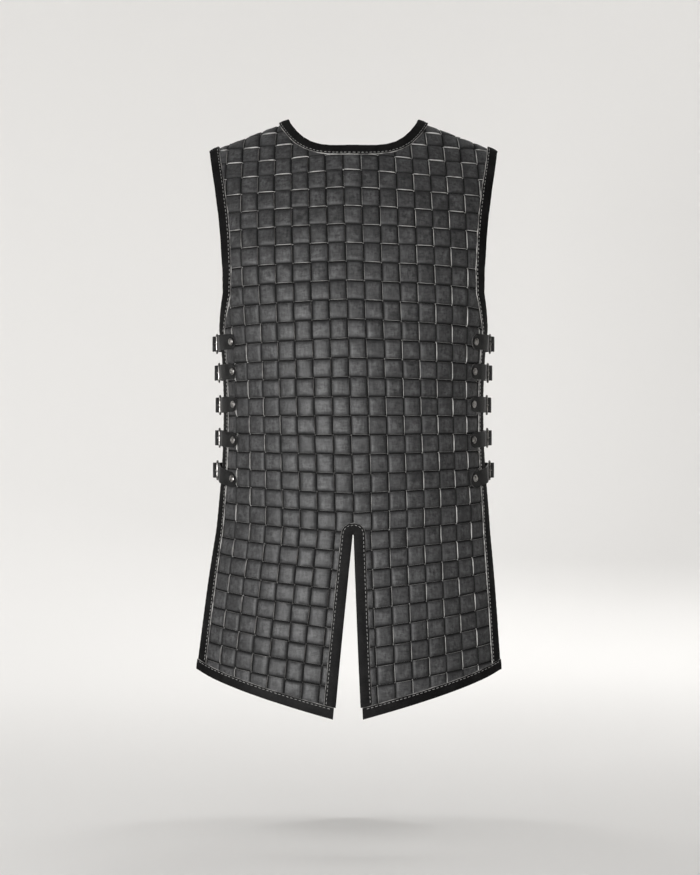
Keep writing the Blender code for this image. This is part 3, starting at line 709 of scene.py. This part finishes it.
def folded_strip(name, form, line, inward):
    """A strip folded over the edge: an outer leaf, the fold and an inner leaf."""
    thick = BINDING_LEATHER
    edge = -BINDING_EDGE_GAP
    top, low = BINDING_TOP, BINDING_LOW
    profile = np.array((
        # distance in from the cut edge, height over the form
        (BINDING_WIDTH, top + 0.1 * thick),
        (BINDING_WIDTH - 0.0008, top + thick),
        (BINDING_WIDTH - 0.0030, top + thick * 0.92),
        (BINDING_WIDTH * 0.45, top + thick * 1.12),
        (0.0010, top + thick),
        (edge - 0.35 * thick, top + 0.75 * thick),
        (edge - 0.80 * thick, top + 0.25 * thick),
        (edge - thick, top - 0.6 * thick),
        (edge - thick, low + 0.6 * thick),
        (edge - 0.80 * thick, low - 0.25 * thick),
        (edge - 0.35 * thick, low - 0.75 * thick),
        (0.0010, low - thick),
        (BINDING_WIDTH, low - thick),
        (BINDING_WIDTH, low),
        (edge, low),
        (edge, top),
        (BINDING_WIDTH * 0.5, top),
    ))
    raw_sides = (0, 12)
    size = len(profile)
    count = len(line)
    inner_edge = profile[:, 0] > 0.6 * BINDING_WIDTH
    reach = profile[None, :, 0] + wandering(count, BINDING_WAVE)[:, None] * inner_edge
    puckers = PUCKER * np.sin(np.arange(count) * 1.7) + wandering(count, PUCKER)
    outer_leaf = profile[:, 1] > top / 2
    lift = profile[None, :, 1] + puckers[:, None] * outer_leaf
    x = line[:, 0, None] + inward[:, 0, None] * reach
    y = line[:, 1, None] + inward[:, 1, None] * reach
    places = form.bend(x, y, lift).reshape(-1, 3)
    faces = ring_faces(count, size)
    slots = [int(m in raw_sides) for m in range(size)] * (count - 1)
    leaves = ((0, 1, 2, 16), (16, 2, 3, 4, 15), (15, 4, 5, 6, 7, 8, 9, 10, 11, 14), (14, 11, 12, 13))
    for start in (0, (count - 1) * size):
        faces += [tuple(start + corner for corner in leaf) for leaf in leaves]
        slots += [1] * len(leaves)
    piece = solid_mesh(name + "_leather", places, faces, slots, None, (BINDING_SKIN, BINDING_SIDE))
    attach(piece, "root")
    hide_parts(name)


def stitch_row(form, line, inward):
    """Corner places and faces of the stitches that run along one binding's inner edge."""
    inner = line + inward * (BINDING_WIDTH - STITCH_INSET)
    along = distances(inner)
    middles = np.arange(STITCH_PITCH, along[-1] - STITCH_PITCH / 2, STITCH_PITCH)
    spots, shares, rises = np.array(STITCH_RINGS).T
    places, faces = [], []
    for middle in middles:
        middle = middle + dice.uniform(-STITCH_WANDER, STITCH_WANDER)
        stations = middle + spots * STITCH_LENGTH
        x, y = [np.interp(stations, along, inner[:, axis]) for axis in (0, 1)]
        lift = BINDING_TOP + BINDING_LEATHER * 0.92 + rises
        spine = form.bend(x, y, lift)
        out = unit(form.bend(x, y, lift + 0.001) - spine)
        side = np.cross(unit(np.gradient(spine, axis=0)), out)
        start = len(places)
        for k, share in enumerate(shares):
            for turn in np.arange(STITCH_SIDES) * 2 * math.pi / STITCH_SIDES:
                way_out = out[k] * math.cos(turn) + side[k] * math.sin(turn)
                places.append(spine[k] + STITCH_RADIUS * share * way_out)
        faces += ring_faces(len(shares), STITCH_SIDES, start)
        for first in (start, len(places) - STITCH_SIDES):
            faces.append(tuple(range(first, first + STITCH_SIDES)))
    return places, faces


def binding_leather():
    """Near-black soft leather with a fine grain and slightly greyer rubbed patches."""
    material, shader, shade = surface("binding_leather", Specular_IOR_Level=0.07)
    cloud = shade.noise(35.0, 4.0, 0.6)
    grain = shade.pebbles(1300.0)
    fibre = shade.noise(1000.0, 2.0, 0.6)
    greyer = cloud.steep(0.35, 0.75) * 0.7
    colour = greyer.blend((0.0018, 0.0017, 0.0017, 1.0), (0.0085, 0.0082, 0.0082, 1.0))
    colour = (fibre.steep(0.62, 0.80) * 0.22).blend(colour, (0.11, 0.11, 0.11, 1.0))
    relief = grain * 0.7 + fibre * 0.5 + cloud
    wire(shade, shader, relief, 0.35, 0.0004, Base_Color=colour, Roughness=cloud * 0.14 + 0.50)
    return material


def binding_edge():
    """The raw side of the binding, mostly dyed through, rubbed pale in broken lengths."""
    material, shader, shade = surface("binding_raw_edge", Specular_IOR_Level=0.3)
    fibre = shade.noise(700.0, 4.0, 0.7)
    patch = shade.noise(70.0, 3.0, 0.6)
    pale = patch.steep(0.38, 0.62) * 0.75 + fibre * 0.25
    colour = pale.blend((0.03, 0.029, 0.028, 1.0), (0.30, 0.295, 0.285, 1.0))
    wire(shade, shader, fibre, 0.5, 0.0003, Base_Color=colour, Roughness=fibre * 0.2 + 0.55)
    return material


def thread():
    """Grey waxed thread, twisted."""
    material, shader, shade = surface("waxed_thread", IOR=1.45)
    twist = shade.noise(1600.0, 2.0, 0.5)
    colour = twist.blend((0.12, 0.12, 0.118, 1.0), (0.36, 0.355, 0.345, 1.0))
    wire(shade, shader, twist, 0.4, 0.0002, Base_Color=colour, Roughness=twist * 0.2 + 0.5)
    return material


BINDING_SKIN = binding_leather()
BINDING_SIDE = binding_edge()
THREAD = thread()


def add_bindings(form, where):
    """All the folded edges of one panel, and the stitches through them as one piece."""
    hem_clear = BINDING_WIDTH + SEAM_GAP
    neck = spaced(neck_line(form), BINDING_STATION)
    shoulders = {side: np.array(shoulder_line(form, side)) for side in (-1, 1)}
    ends = [shoulders[side][1] - shoulders[side][0] for side in (-1, 1)]
    runs = [("neck_binding_" + where, neck, inward_directions(neck, -1, *ends))]
    slopes = {}
    for side, word in ((-1, "left"), (1, "right")):
        hem = np.array(hem_line(form, side))
        slopes[side] = hem[-2] - hem[-1]
        slope = hem[1] - hem[0]
        run = np.array(side_line(form, side))
        end = run[-1] + np.array((0.0, hem_clear * np.linalg.norm(slope) / abs(slope[0])))
        run = spaced(np.concatenate([run[run[:, 1] > end[1] + 0.004], [end]]), BINDING_STATION)
        inward = inward_directions(run, -side, shoulders[side][-2] - shoulders[side][-1], slope)
        runs.append(("side_binding_" + where + "_" + word, run, inward))
        hem[0] = hem[0] + (hem[0] - hem[1]) * HEM_TAB / np.linalg.norm(hem[0] - hem[1])
        hem = spaced(hem, BINDING_STATION)
        inward = inward_directions(hem, -side, (0.0, 1.0), (0.0, 1.0))
        runs.append(("hem_binding_" + where + "_" + word, hem, inward))
    slit = np.array(slit_line(form))
    for end, slope in ((0, slopes[1]), (-1, slopes[-1])):
        slit[end] = slit[end] + np.array((0.0, hem_clear * np.linalg.norm(slope) / abs(slope[0])))
    slit = spaced(slit, BINDING_STATION * 0.5)
    runs.append(("slit_binding_" + where, slit, inward_directions(slit, -1, slopes[1], slopes[-1])))
    corners, faces, slots = [], [], []
    for name, line, inward in runs:
        folded_strip(name, form, line, inward)
        more, skins = stitch_row(form, line, inward)
        faces += [tuple(corner + len(corners) for corner in skin) for skin in skins]
        corners += more
    piece = solid_mesh("stitches_" + where, np.array(corners), faces, [0] * len(faces), None, (THREAD,))
    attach(piece, "root")


for where, form in forms.items():
    add_bindings(form, where)


# Side straps and buckle straps
# Ten strap leathers 22 mm wide, riveted near their rounded ends to the shown panel, run over the
# binding and through a buckle, whose own strap is riveted to the hidden panel and looped on its bar.
STRAP_HEIGHTS = (-0.319, -0.361, -0.4075, -0.455, -0.502)
STRAP_TILTS = (0.0, 0.0, 0.0, 0.06, 0.20)
STRAP_WIDTH = 0.022
STRAP_LEATHER = 0.0020
STRAP_REACH = 0.036
STRAP_ON_WEAVE = 0.0060 + STRAP_LEATHER / 2
STRAP_ON_BINDING = BINDING_TOP + BINDING_LEATHER + 0.0002 + STRAP_LEATHER / 2
STRAP_RAMP = 0.006
STRAP_STATIONS = 10
STRAP_STATION = 0.0011
STRAP_TIP = 0.0095
TIP_SHARES = np.array((0.02, 0.07, 0.15, 0.26, 0.40, 0.6, 0.8))
TIP_NARROWEST = 0.012
STRAP_PROFILE = (
    # place across in half widths, height over the middle in half thicknesses
    (-1.0, 0.10), (-0.985, 0.72), (-0.94, 0.98), (-0.55, 1.0), (0.0, 1.03), (0.55, 1.0), (0.94, 0.98),
    (0.985, 0.72), (1.0, 0.10), (0.985, -0.9), (0.5, -1.0), (0.0, -1.0), (-0.5, -1.0), (-0.985, -0.9),
)
STRAP_RAW_SIDES = (0, 7, 8, 13)
HOLE_RADIUS = 0.0013
HOLE_SIDES = 14
HOLE_REACH = 0.004
BUCKLE_WIRE = 0.0026
BUCKLE_INNER_HEIGHT = 0.0240
BUCKLE_BAR = 0.0135 / 2


def strap_path(form, side, height):
    """Plan points of a strap: from its end on the panel, over the binding, to the side."""
    arc, x, y = form.section(height)
    edge = SIDE_COLUMNS * UPRIGHT_PITCH
    points = []
    for place in np.linspace(edge - STRAP_REACH, edge + BINDING_EDGE_GAP, STRAP_STATIONS):
        rise = np.clip((place - edge + BINDING_WIDTH + STRAP_RAMP) / STRAP_RAMP, 0.0, 1.0)
        lift = STRAP_ON_WEAVE + (STRAP_ON_BINDING - STRAP_ON_WEAVE) * rise
        reaches = (place, place + 0.002)
        at, ahead = np.stack([np.interp(reaches, arc, x), np.interp(reaches, arc, y)], axis=1)
        tangent = unit(ahead - at)
        points.append(at + np.array([-tangent[1], tangent[0]]) * lift)
    sway = smooth_table(FORM, 4, height)
    return [(side * x + sway, form.facing * y) for x, y in points]


def rounded(path, rounds=3):
    """Cut the corners of an open path, so that leather bends where it was folded sharp."""
    path = np.array(path)
    for _ in range(rounds):
        cut = np.empty((2 * len(path), path.shape[1]))
        cut[0], cut[-1] = path[0], path[-1]
        cut[1:-1:2] = path[:-1] * 0.75 + path[1:] * 0.25
        cut[2:-1:2] = path[:-1] * 0.25 + path[1:] * 0.75
        path = cut
    return path


def strap_piece(name, upper, lower, height, tilt, level_from, tips, holes, replaced):
    """A strap between the plan paths of its two edges, its ends cut round, its holes punched."""
    edges = [rounded(path) for path in (upper, lower)]
    middle = (edges[0] + edges[1]) / 2
    along = distances(middle)
    even = np.linspace(0.0, along[-1], int(along[-1] / STRAP_STATION))
    tip = STRAP_TIP * TIP_SHARES
    even = np.unique(np.concatenate([even, tip, along[-1] - tip]))
    edges = [
        np.stack([np.interp(even, along, path[:, axis]) for axis in (0, 1)], axis=1) for path in edges
    ]
    turn_at = np.linalg.norm(np.diff(np.array(upper)[:level_from + 1], axis=0), axis=1).sum()
    level = height - tilt * np.maximum(turn_at - even, 0.0)
    share = np.ones(len(even))
    for tipped, reach in zip(tips, (even, even[-1] - even)):
        if tipped:
            left = 1 - np.clip(reach / STRAP_TIP, 0, 1)
            share = np.minimum(share, np.sqrt(np.clip(1 - left ** 2, TIP_NARROWEST, 1)))
    size = len(STRAP_PROFILE)
    places = []
    for k in range(len(even)):
        plan = (edges[0][k] + edges[1][k]) / 2
        lean = (edges[0][k] - edges[1][k]) / STRAP_WIDTH
        tangent = middle_way(edges, k)
        out = np.array((-tangent[1], tangent[0], 0.0)) * STRAP_LEATHER / 2
        for across, lift in STRAP_PROFILE:
            reach = across * share[k] * STRAP_WIDTH / 2
            sheer = lift if share[k] > 0.5 else lift * (0.6 + 0.8 * share[k])
            at = (plan[0] + lean[0] * reach, plan[1] + lean[1] * reach, level[k] + reach)
            places.append(at + out * sheer)
    faces = ring_faces(len(even), size)
    slots = [int(m in STRAP_RAW_SIDES) for m in range(size)] * (len(even) - 1)
    for start in (0, (len(even) - 1) * size):
        faces.append(tuple(start + m for m in range(size)))
        slots.append(1)
    piece = solid_mesh(name, np.array(places), faces, slots, None, (STRAP_SKIN, STRAP_SIDE))
    if holes:
        punch(piece, [place_on(even, edges, level, hole) for hole in holes])
    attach(piece, "root")
    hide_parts(replaced)


def middle_way(edges, k):
    """The direction in plan that a strap runs in at a station."""
    path = (edges[0] + edges[1]) / 2
    return unit(path[min(k + 1, len(path) - 1)] - path[max(k - 1, 0)])


def place_on(even, edges, level, reach):
    """The middle of a strap and its outward direction, at a distance from its first end."""
    k = int(np.argmin(np.abs(even - reach)))
    plan = (edges[0][k] + edges[1][k]) / 2
    way = middle_way(edges, k)
    return np.array((plan[0], plan[1], level[k])), np.array((-way[1], way[0], 0.0))


def punch(piece, spots):
    """Cut round holes through a strap."""
    places, faces = [], []
    sides = HOLE_SIDES
    for centre, out in spots:
        start = len(places)
        up = np.array((0.0, 0.0, 1.0))
        across = np.cross(out, up)
        for reach in (-HOLE_REACH, HOLE_REACH):
            for turn in np.arange(sides) * 2 * math.pi / sides:
                round_way = up * math.cos(turn) + across * math.sin(turn)
                places.append(centre + out * reach + HOLE_RADIUS * round_way)
        faces += [tuple(start + m for m in range(sides)), tuple(start + sides + m for m in range(sides))]
        faces += ring_faces(2, sides, start)
    cutter = solid_mesh("punch", np.array(places), faces, [0] * len(faces), None, (STRIP_SIDE,))
    cut = piece.modifiers.new("holes", "BOOLEAN")
    cut.operation = "DIFFERENCE"
    cut.object = cutter
    bpy.context.view_layer.update()
    mesh = bpy.data.meshes.new_from_object(piece.evaluated_get(bpy.context.evaluated_depsgraph_get()))
    piece.modifiers.clear()
    piece.data = mesh
    bpy.data.objects.remove(cutter, do_unlink=True)
    mesh.set_sharp_from_angle(angle=CREASE)


def strap_leather():
    """Black strap leather, firmer and more even than the weave, greyer in cloudy patches."""
    material, shader, shade = surface("strap_leather", Specular_IOR_Level=0.16)
    cloud = shade.noise(70.0, 4.0, 0.6)
    grain = shade.pebbles(1400.0)
    fibre = shade.noise(1100.0, 2.0, 0.6)
    colour = cloud.steep(0.35, 0.75).blend((0.0028, 0.0028, 0.0029, 1.0), (0.0125, 0.0125, 0.0128, 1.0))
    colour = (fibre.steep(0.60, 0.80) * 0.25).blend(colour, (0.13, 0.13, 0.13, 1.0))
    relief = grain * 0.6 + fibre * 0.5 + cloud
    wire(shade, shader, relief, 0.3, 0.0004, Base_Color=colour, Roughness=cloud * 0.14 + 0.44)
    return material


def strap_edge():
    """The dyed and burnished side of a strap, with short paler rubs."""
    material, shader, shade = surface("strap_burnished_edge", Specular_IOR_Level=0.35)
    fibre = shade.noise(600.0, 4.0, 0.7)
    patch = shade.noise(90.0, 3.0, 0.6)
    pale = patch.steep(0.45, 0.68) * 0.7 + fibre * 0.1
    colour = pale.blend((0.010, 0.010, 0.010, 1.0), (0.16, 0.158, 0.152, 1.0))
    wire(shade, shader, fibre, 0.4, 0.0003, Base_Color=colour, Roughness=fibre * 0.2 + 0.45)
    return material


STRAP_SKIN = strap_leather()
STRAP_SIDE = strap_edge()


# Buckles and rivets
# Small nickel-plated wire frames with a prong, and domed rivets of the same metal through the
# rounded ends of the straps. All ten straps are fastened.
RIVET_PROFILE = (
    # radius, height over the strap
    (0.0044, -0.0004),
    (0.0050, 0.0002),
    (0.0050, 0.0007),
    (0.0044, 0.0012),
    (0.0038, 0.0009),
    (0.0030, 0.0014),
    (0.0019, 0.0019),
    (0.0008, 0.0021),
)
RIVET_SIDES = 28
PRONG_ROOT = 0.0010
PRONG_TIP = 0.0006
BUCKLE_CORNER = 0.0035


def plated_metal():
    """Nickel-plated steel, a little cloudy, with dark dirty patches at random."""
    material, shader, shade = surface("nickel_plate", Metallic=1.0)
    cloud = shade.noise(300.0, 4.0, 0.6)
    scratch = shade.noise(900.0, 2.0, 0.5, stretch=(1.0, 1.0, 0.2))
    colour = cloud.steep(0.30, 0.62).blend((0.04, 0.038, 0.036, 1.0), (0.34, 0.33, 0.32, 1.0))
    wire(shade, shader, cloud + scratch * 0.5, 0.25, 0.0002, Base_Color=colour, Roughness=0.46 - cloud * 0.25)
    return material


PLATE = plated_metal()


def wire_rings(path, radii, sides, closed):
    """Corner places and faces of a round wire along a path."""
    path = np.array(path)
    count = len(path)
    places = []
    for k in range(count):
        before = path[k - 1] if closed or k else path[k]
        after = path[(k + 1) % count] if closed or k < count - 1 else path[k]
        tangent = unit(after - before)
        first = unit(np.cross(tangent, (1.0, 0.0, 0.0)))
        second = np.cross(tangent, first)
        for turn in (np.arange(sides) + 0.5) * 2 * math.pi / sides:
            places.append(path[k] + radii[k] * (first * math.cos(turn) + second * math.sin(turn)))
    faces = ring_faces(count, sides, closed=closed)
    if not closed:
        faces += [tuple(range(sides)), tuple(sides * (count - 1) + m for m in range(sides))]
    return places, faces


def metal_piece(name, parts, replaced=()):
    """Join wires or heads into one piece of plated metal."""
    corners, faces = [], []
    for places, skins in parts:
        faces += [tuple(corner + len(corners) for corner in skin) for skin in skins]
        corners += list(places)
    piece = solid_mesh(name, np.array(corners), faces, [0] * len(faces), None, (PLATE,))
    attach(piece, "root")
    if replaced:
        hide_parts(replaced)


def rivet_head(centre, along, up, out):
    """A low domed head with a rolled rim."""
    sides = RIVET_SIDES
    places = []
    for reach, rise in RIVET_PROFILE:
        for turn in np.arange(sides) * 2 * math.pi / sides:
            places.append(centre + (along * math.cos(turn) + up * math.sin(turn)) * reach + out * rise)
    places.append(centre + out * (RIVET_PROFILE[-1][1] + 0.0001))
    faces = ring_faces(len(RIVET_PROFILE), sides)
    last = sides * (len(RIVET_PROFILE) - 1)
    faces += [(last + m, last + (m + 1) % sides, len(places) - 1) for m in range(sides)]
    faces.append(tuple(range(sides)))
    return places, faces


def seated_rivet(upper, lower, height):
    """A rivet head on the strap, a fifth of the way from its rounded end to the side edge."""
    spot, ahead = [
        np.array([
            np.interp(station, range(STRAP_STATIONS), np.array(path)[:STRAP_STATIONS, axis])
            for path in (upper, lower) for axis in (0, 1)
        ])
        for station in (1.8, 3.0)
    ]
    plan = (spot[:2] + spot[2:]) / 2
    along = unit(np.append((ahead[:2] + ahead[2:]) / 2 - plan, 0.0))
    up = unit(np.append(spot[:2] - spot[2:], STRAP_WIDTH))
    out = np.cross(along, up)
    out = out * math.copysign(1.0, float(out[:2] @ plan))
    return rivet_head(np.append(plan, height) + out * (STRAP_LEATHER / 2 + 0.0001), along, up, out)


def add_fastening(number, side, word):
    """One strap, its buckle strap, its buckle and prong, and its two rivets."""
    height = STRAP_HEIGHTS[number - 1]
    tilt = STRAP_TILTS[number - 1]
    rise = height - tilt * (STRAP_REACH + BUCKLE_INNER_HEIGHT)
    low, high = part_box("buckle_" + word)
    plane = abs(low[0] + high[0]) / 2
    half = STRAP_WIDTH / 2
    shown = [strap_path(forms["front"], side, rise + z) for z in (half, -half)]
    hidden = [strap_path(forms["back"], side, height + z) for z in (half, -half)]
    gap = SEAM_GAP
    under = plane - BUCKLE_WIRE / 2 - gap - STRAP_LEATHER / 2
    over = plane + BUCKLE_WIRE / 2 + 2 * STRAP_LEATHER + 3 * gap
    # Past the side edge, as distance from the middle and depth
    rest = [(under, -BUCKLE_BAR - 0.008), (under, -BUCKLE_BAR + 0.0005), (over, BUCKLE_BAR - 0.0025),
            (over, BUCKLE_BAR + 0.006), (over - 0.0012, BUCKLE_BAR + 0.016)]
    rest = [(side * x, y) for x, y in rest]
    run = np.linalg.norm(np.diff(np.array(shown[0] + rest), axis=0), axis=1)
    first = STRAP_STATIONS + 1
    holes = [run[:first].sum() + run[first] * 0.5, run[:first + 1].sum() + 0.008]
    strap_piece("strap_leather_" + word, shown[0] + rest, shown[1] + rest, height, tilt,
                STRAP_STATIONS, (True, True), holes, "strap_" + word)
    radius = BUCKLE_WIRE / 2 + gap + STRAP_LEATHER / 2
    loop = [(under, BUCKLE_BAR + 0.010)]
    for turn in np.linspace(-math.pi / 2, math.pi / 2, 9):
        loop.append((plane + radius * math.sin(turn), BUCKLE_BAR - radius * math.cos(turn)))
    loop.append((plane + radius - 0.0004, BUCKLE_BAR + 0.008))
    loop = [(side * x, y) for x, y in loop]
    strap_piece("buckle_strap_leather_" + word, hidden[0] + loop, hidden[1] + loop, height, 0.0,
                0, (True, False), [], "buckle_strap_" + word)
    bend = BUCKLE_CORNER
    tall = BUCKLE_INNER_HEIGHT / 2 + BUCKLE_WIRE / 2
    path = []
    for y, z, start in ((1, 1, 0.0), (-1, 1, 0.5), (-1, -1, 1.0), (1, -1, 1.5)):
        for turn in np.linspace(start, start + 0.5, 6) * math.pi:
            path.append((side * plane, y * (BUCKLE_BAR - bend) + bend * math.cos(turn),
                         height + z * (tall - bend) + bend * math.sin(turn)))
    frame_wire = wire_rings(path, [BUCKLE_WIRE / 2] * len(path), 12, True)
    pin = [(side * (plane + 0.0003), BUCKLE_BAR - 0.001, height), (side * (plane + 0.0014), 0.0, height),
           (side * (plane + BUCKLE_WIRE / 2 + 0.0010), -BUCKLE_BAR * 0.75, height),
           (side * (plane + BUCKLE_WIRE / 2 + 0.0007), -BUCKLE_BAR - 0.0016, height)]
    prong = wire_rings(rounded(pin, 2), np.linspace(PRONG_ROOT, PRONG_TIP, 16), 10, False)
    metal_piece("buckle_metal_" + word, [frame_wire, prong], "buckle_" + word)
    metal_piece("rivet_metal_" + word, [seated_rivet(*shown, rise + tilt * STRAP_REACH / 5)], "rivet_" + word)
    metal_piece("hidden_rivet_metal_" + word, [seated_rivet(*hidden, height)])


for side, word in ((-1, "left"), (1, "right")):
    for number in range(1, len(STRAP_HEIGHTS) + 1):
        add_fastening(number, side, word + "_" + str(number))


# Studio
# A plain pale round floor that curves up into a wall all round, a low soft light from the left,
# weak ones at the side and the back, two lights for the wall, and a camera at the photo's angle.
FLOOR_HEIGHT = -1.02
FLOOR_COLOUR = (0.80, 0.79, 0.775, 1.0)
FLOOR_SIDES = 72
FLAT_REACH = 2.2
RIM_RADIUS = 3.6
RIM_STEPS = 12
WALL_TOP = (5.85, 5.0)
AIM = np.array((0.0, 0.0, -0.42))
camera = bpy.data.objects.new("camera", bpy.data.cameras.new("camera"))
camera.data.sensor_fit = "VERTICAL"
camera.data.sensor_height = 36.0
camera.data.lens = 85.1
camera.location = (-0.005, -3.0, -0.4546)
camera.rotation_euler = (math.pi / 2, 0.0, 0.0)
bpy.context.scene.collection.objects.link(camera)
bpy.context.scene.camera = camera

floor_profile = [(0.02, 0.0), (1.2, 0.0)]
for k in range(RIM_STEPS + 1):
    turn = math.pi / 2 * k / RIM_STEPS
    floor_profile.append((FLAT_REACH + RIM_RADIUS * math.sin(turn), RIM_RADIUS * (1 - math.cos(turn))))
floor_profile.append(WALL_TOP)
corners = []
for reach, rise in floor_profile:
    for k in range(FLOOR_SIDES):
        turn = 2 * math.pi * k / FLOOR_SIDES
        corners.append((reach * math.cos(turn), reach * math.sin(turn), FLOOR_HEIGHT + rise))
faces = ring_faces(len(floor_profile), FLOOR_SIDES) + [tuple(range(FLOOR_SIDES))]
mesh = bpy.data.meshes.new("studio_floor")
mesh.from_pydata(corners, [], faces)
floor_material = surface("pale_floor", Base_Color=FLOOR_COLOUR, Roughness=0.9)[0]
mesh.materials.append(floor_material)
floor = finished("studio_floor", mesh)

world = bpy.data.worlds.new("studio")
world.use_nodes = True
world.node_tree.nodes["Background"].inputs["Color"].default_value = (1.0, 0.99, 0.975, 1.0)
world.node_tree.nodes["Background"].inputs["Strength"].default_value = 0.30
bpy.context.scene.world = world
bpy.context.scene.view_settings.view_transform = "Standard"


def add_lamp(name, place, turn, size, power):
    """A square soft light."""
    light = bpy.data.lights.new(name, "AREA")
    light.shape = "SQUARE"
    light.size = size
    light.energy = power
    lamp = bpy.data.objects.new(name, light)
    lamp.location = place
    lamp.rotation_euler = turn
    bpy.context.scene.collection.objects.link(lamp)


for name, place, size, power in (
    ("low_soft_light", (-0.95, -2.7, -0.50), 0.5, 100.0),
    ("side_soft_light", (-2.4, -1.2, 0.2), 0.8, 5.0),
    ("back_soft_light", (0.8, 2.7, 0.6), 1.0, 16.0),
):
    way = AIM - np.array(place)
    turn = (math.acos(-way[2] / np.linalg.norm(way)), 0.0, math.atan2(way[1], way[0]) - math.pi / 2)
    add_lamp(name, place, turn, size, power)

for name, across in (("left_wall_light", -1.0), ("right_wall_light", 1.0)):
    turn = (math.radians(50.0), 0.0, math.radians(-20.0 * across))
    add_lamp(name, (1.6 * across, 1.2, 2.4), turn, 1.2, 60.0)
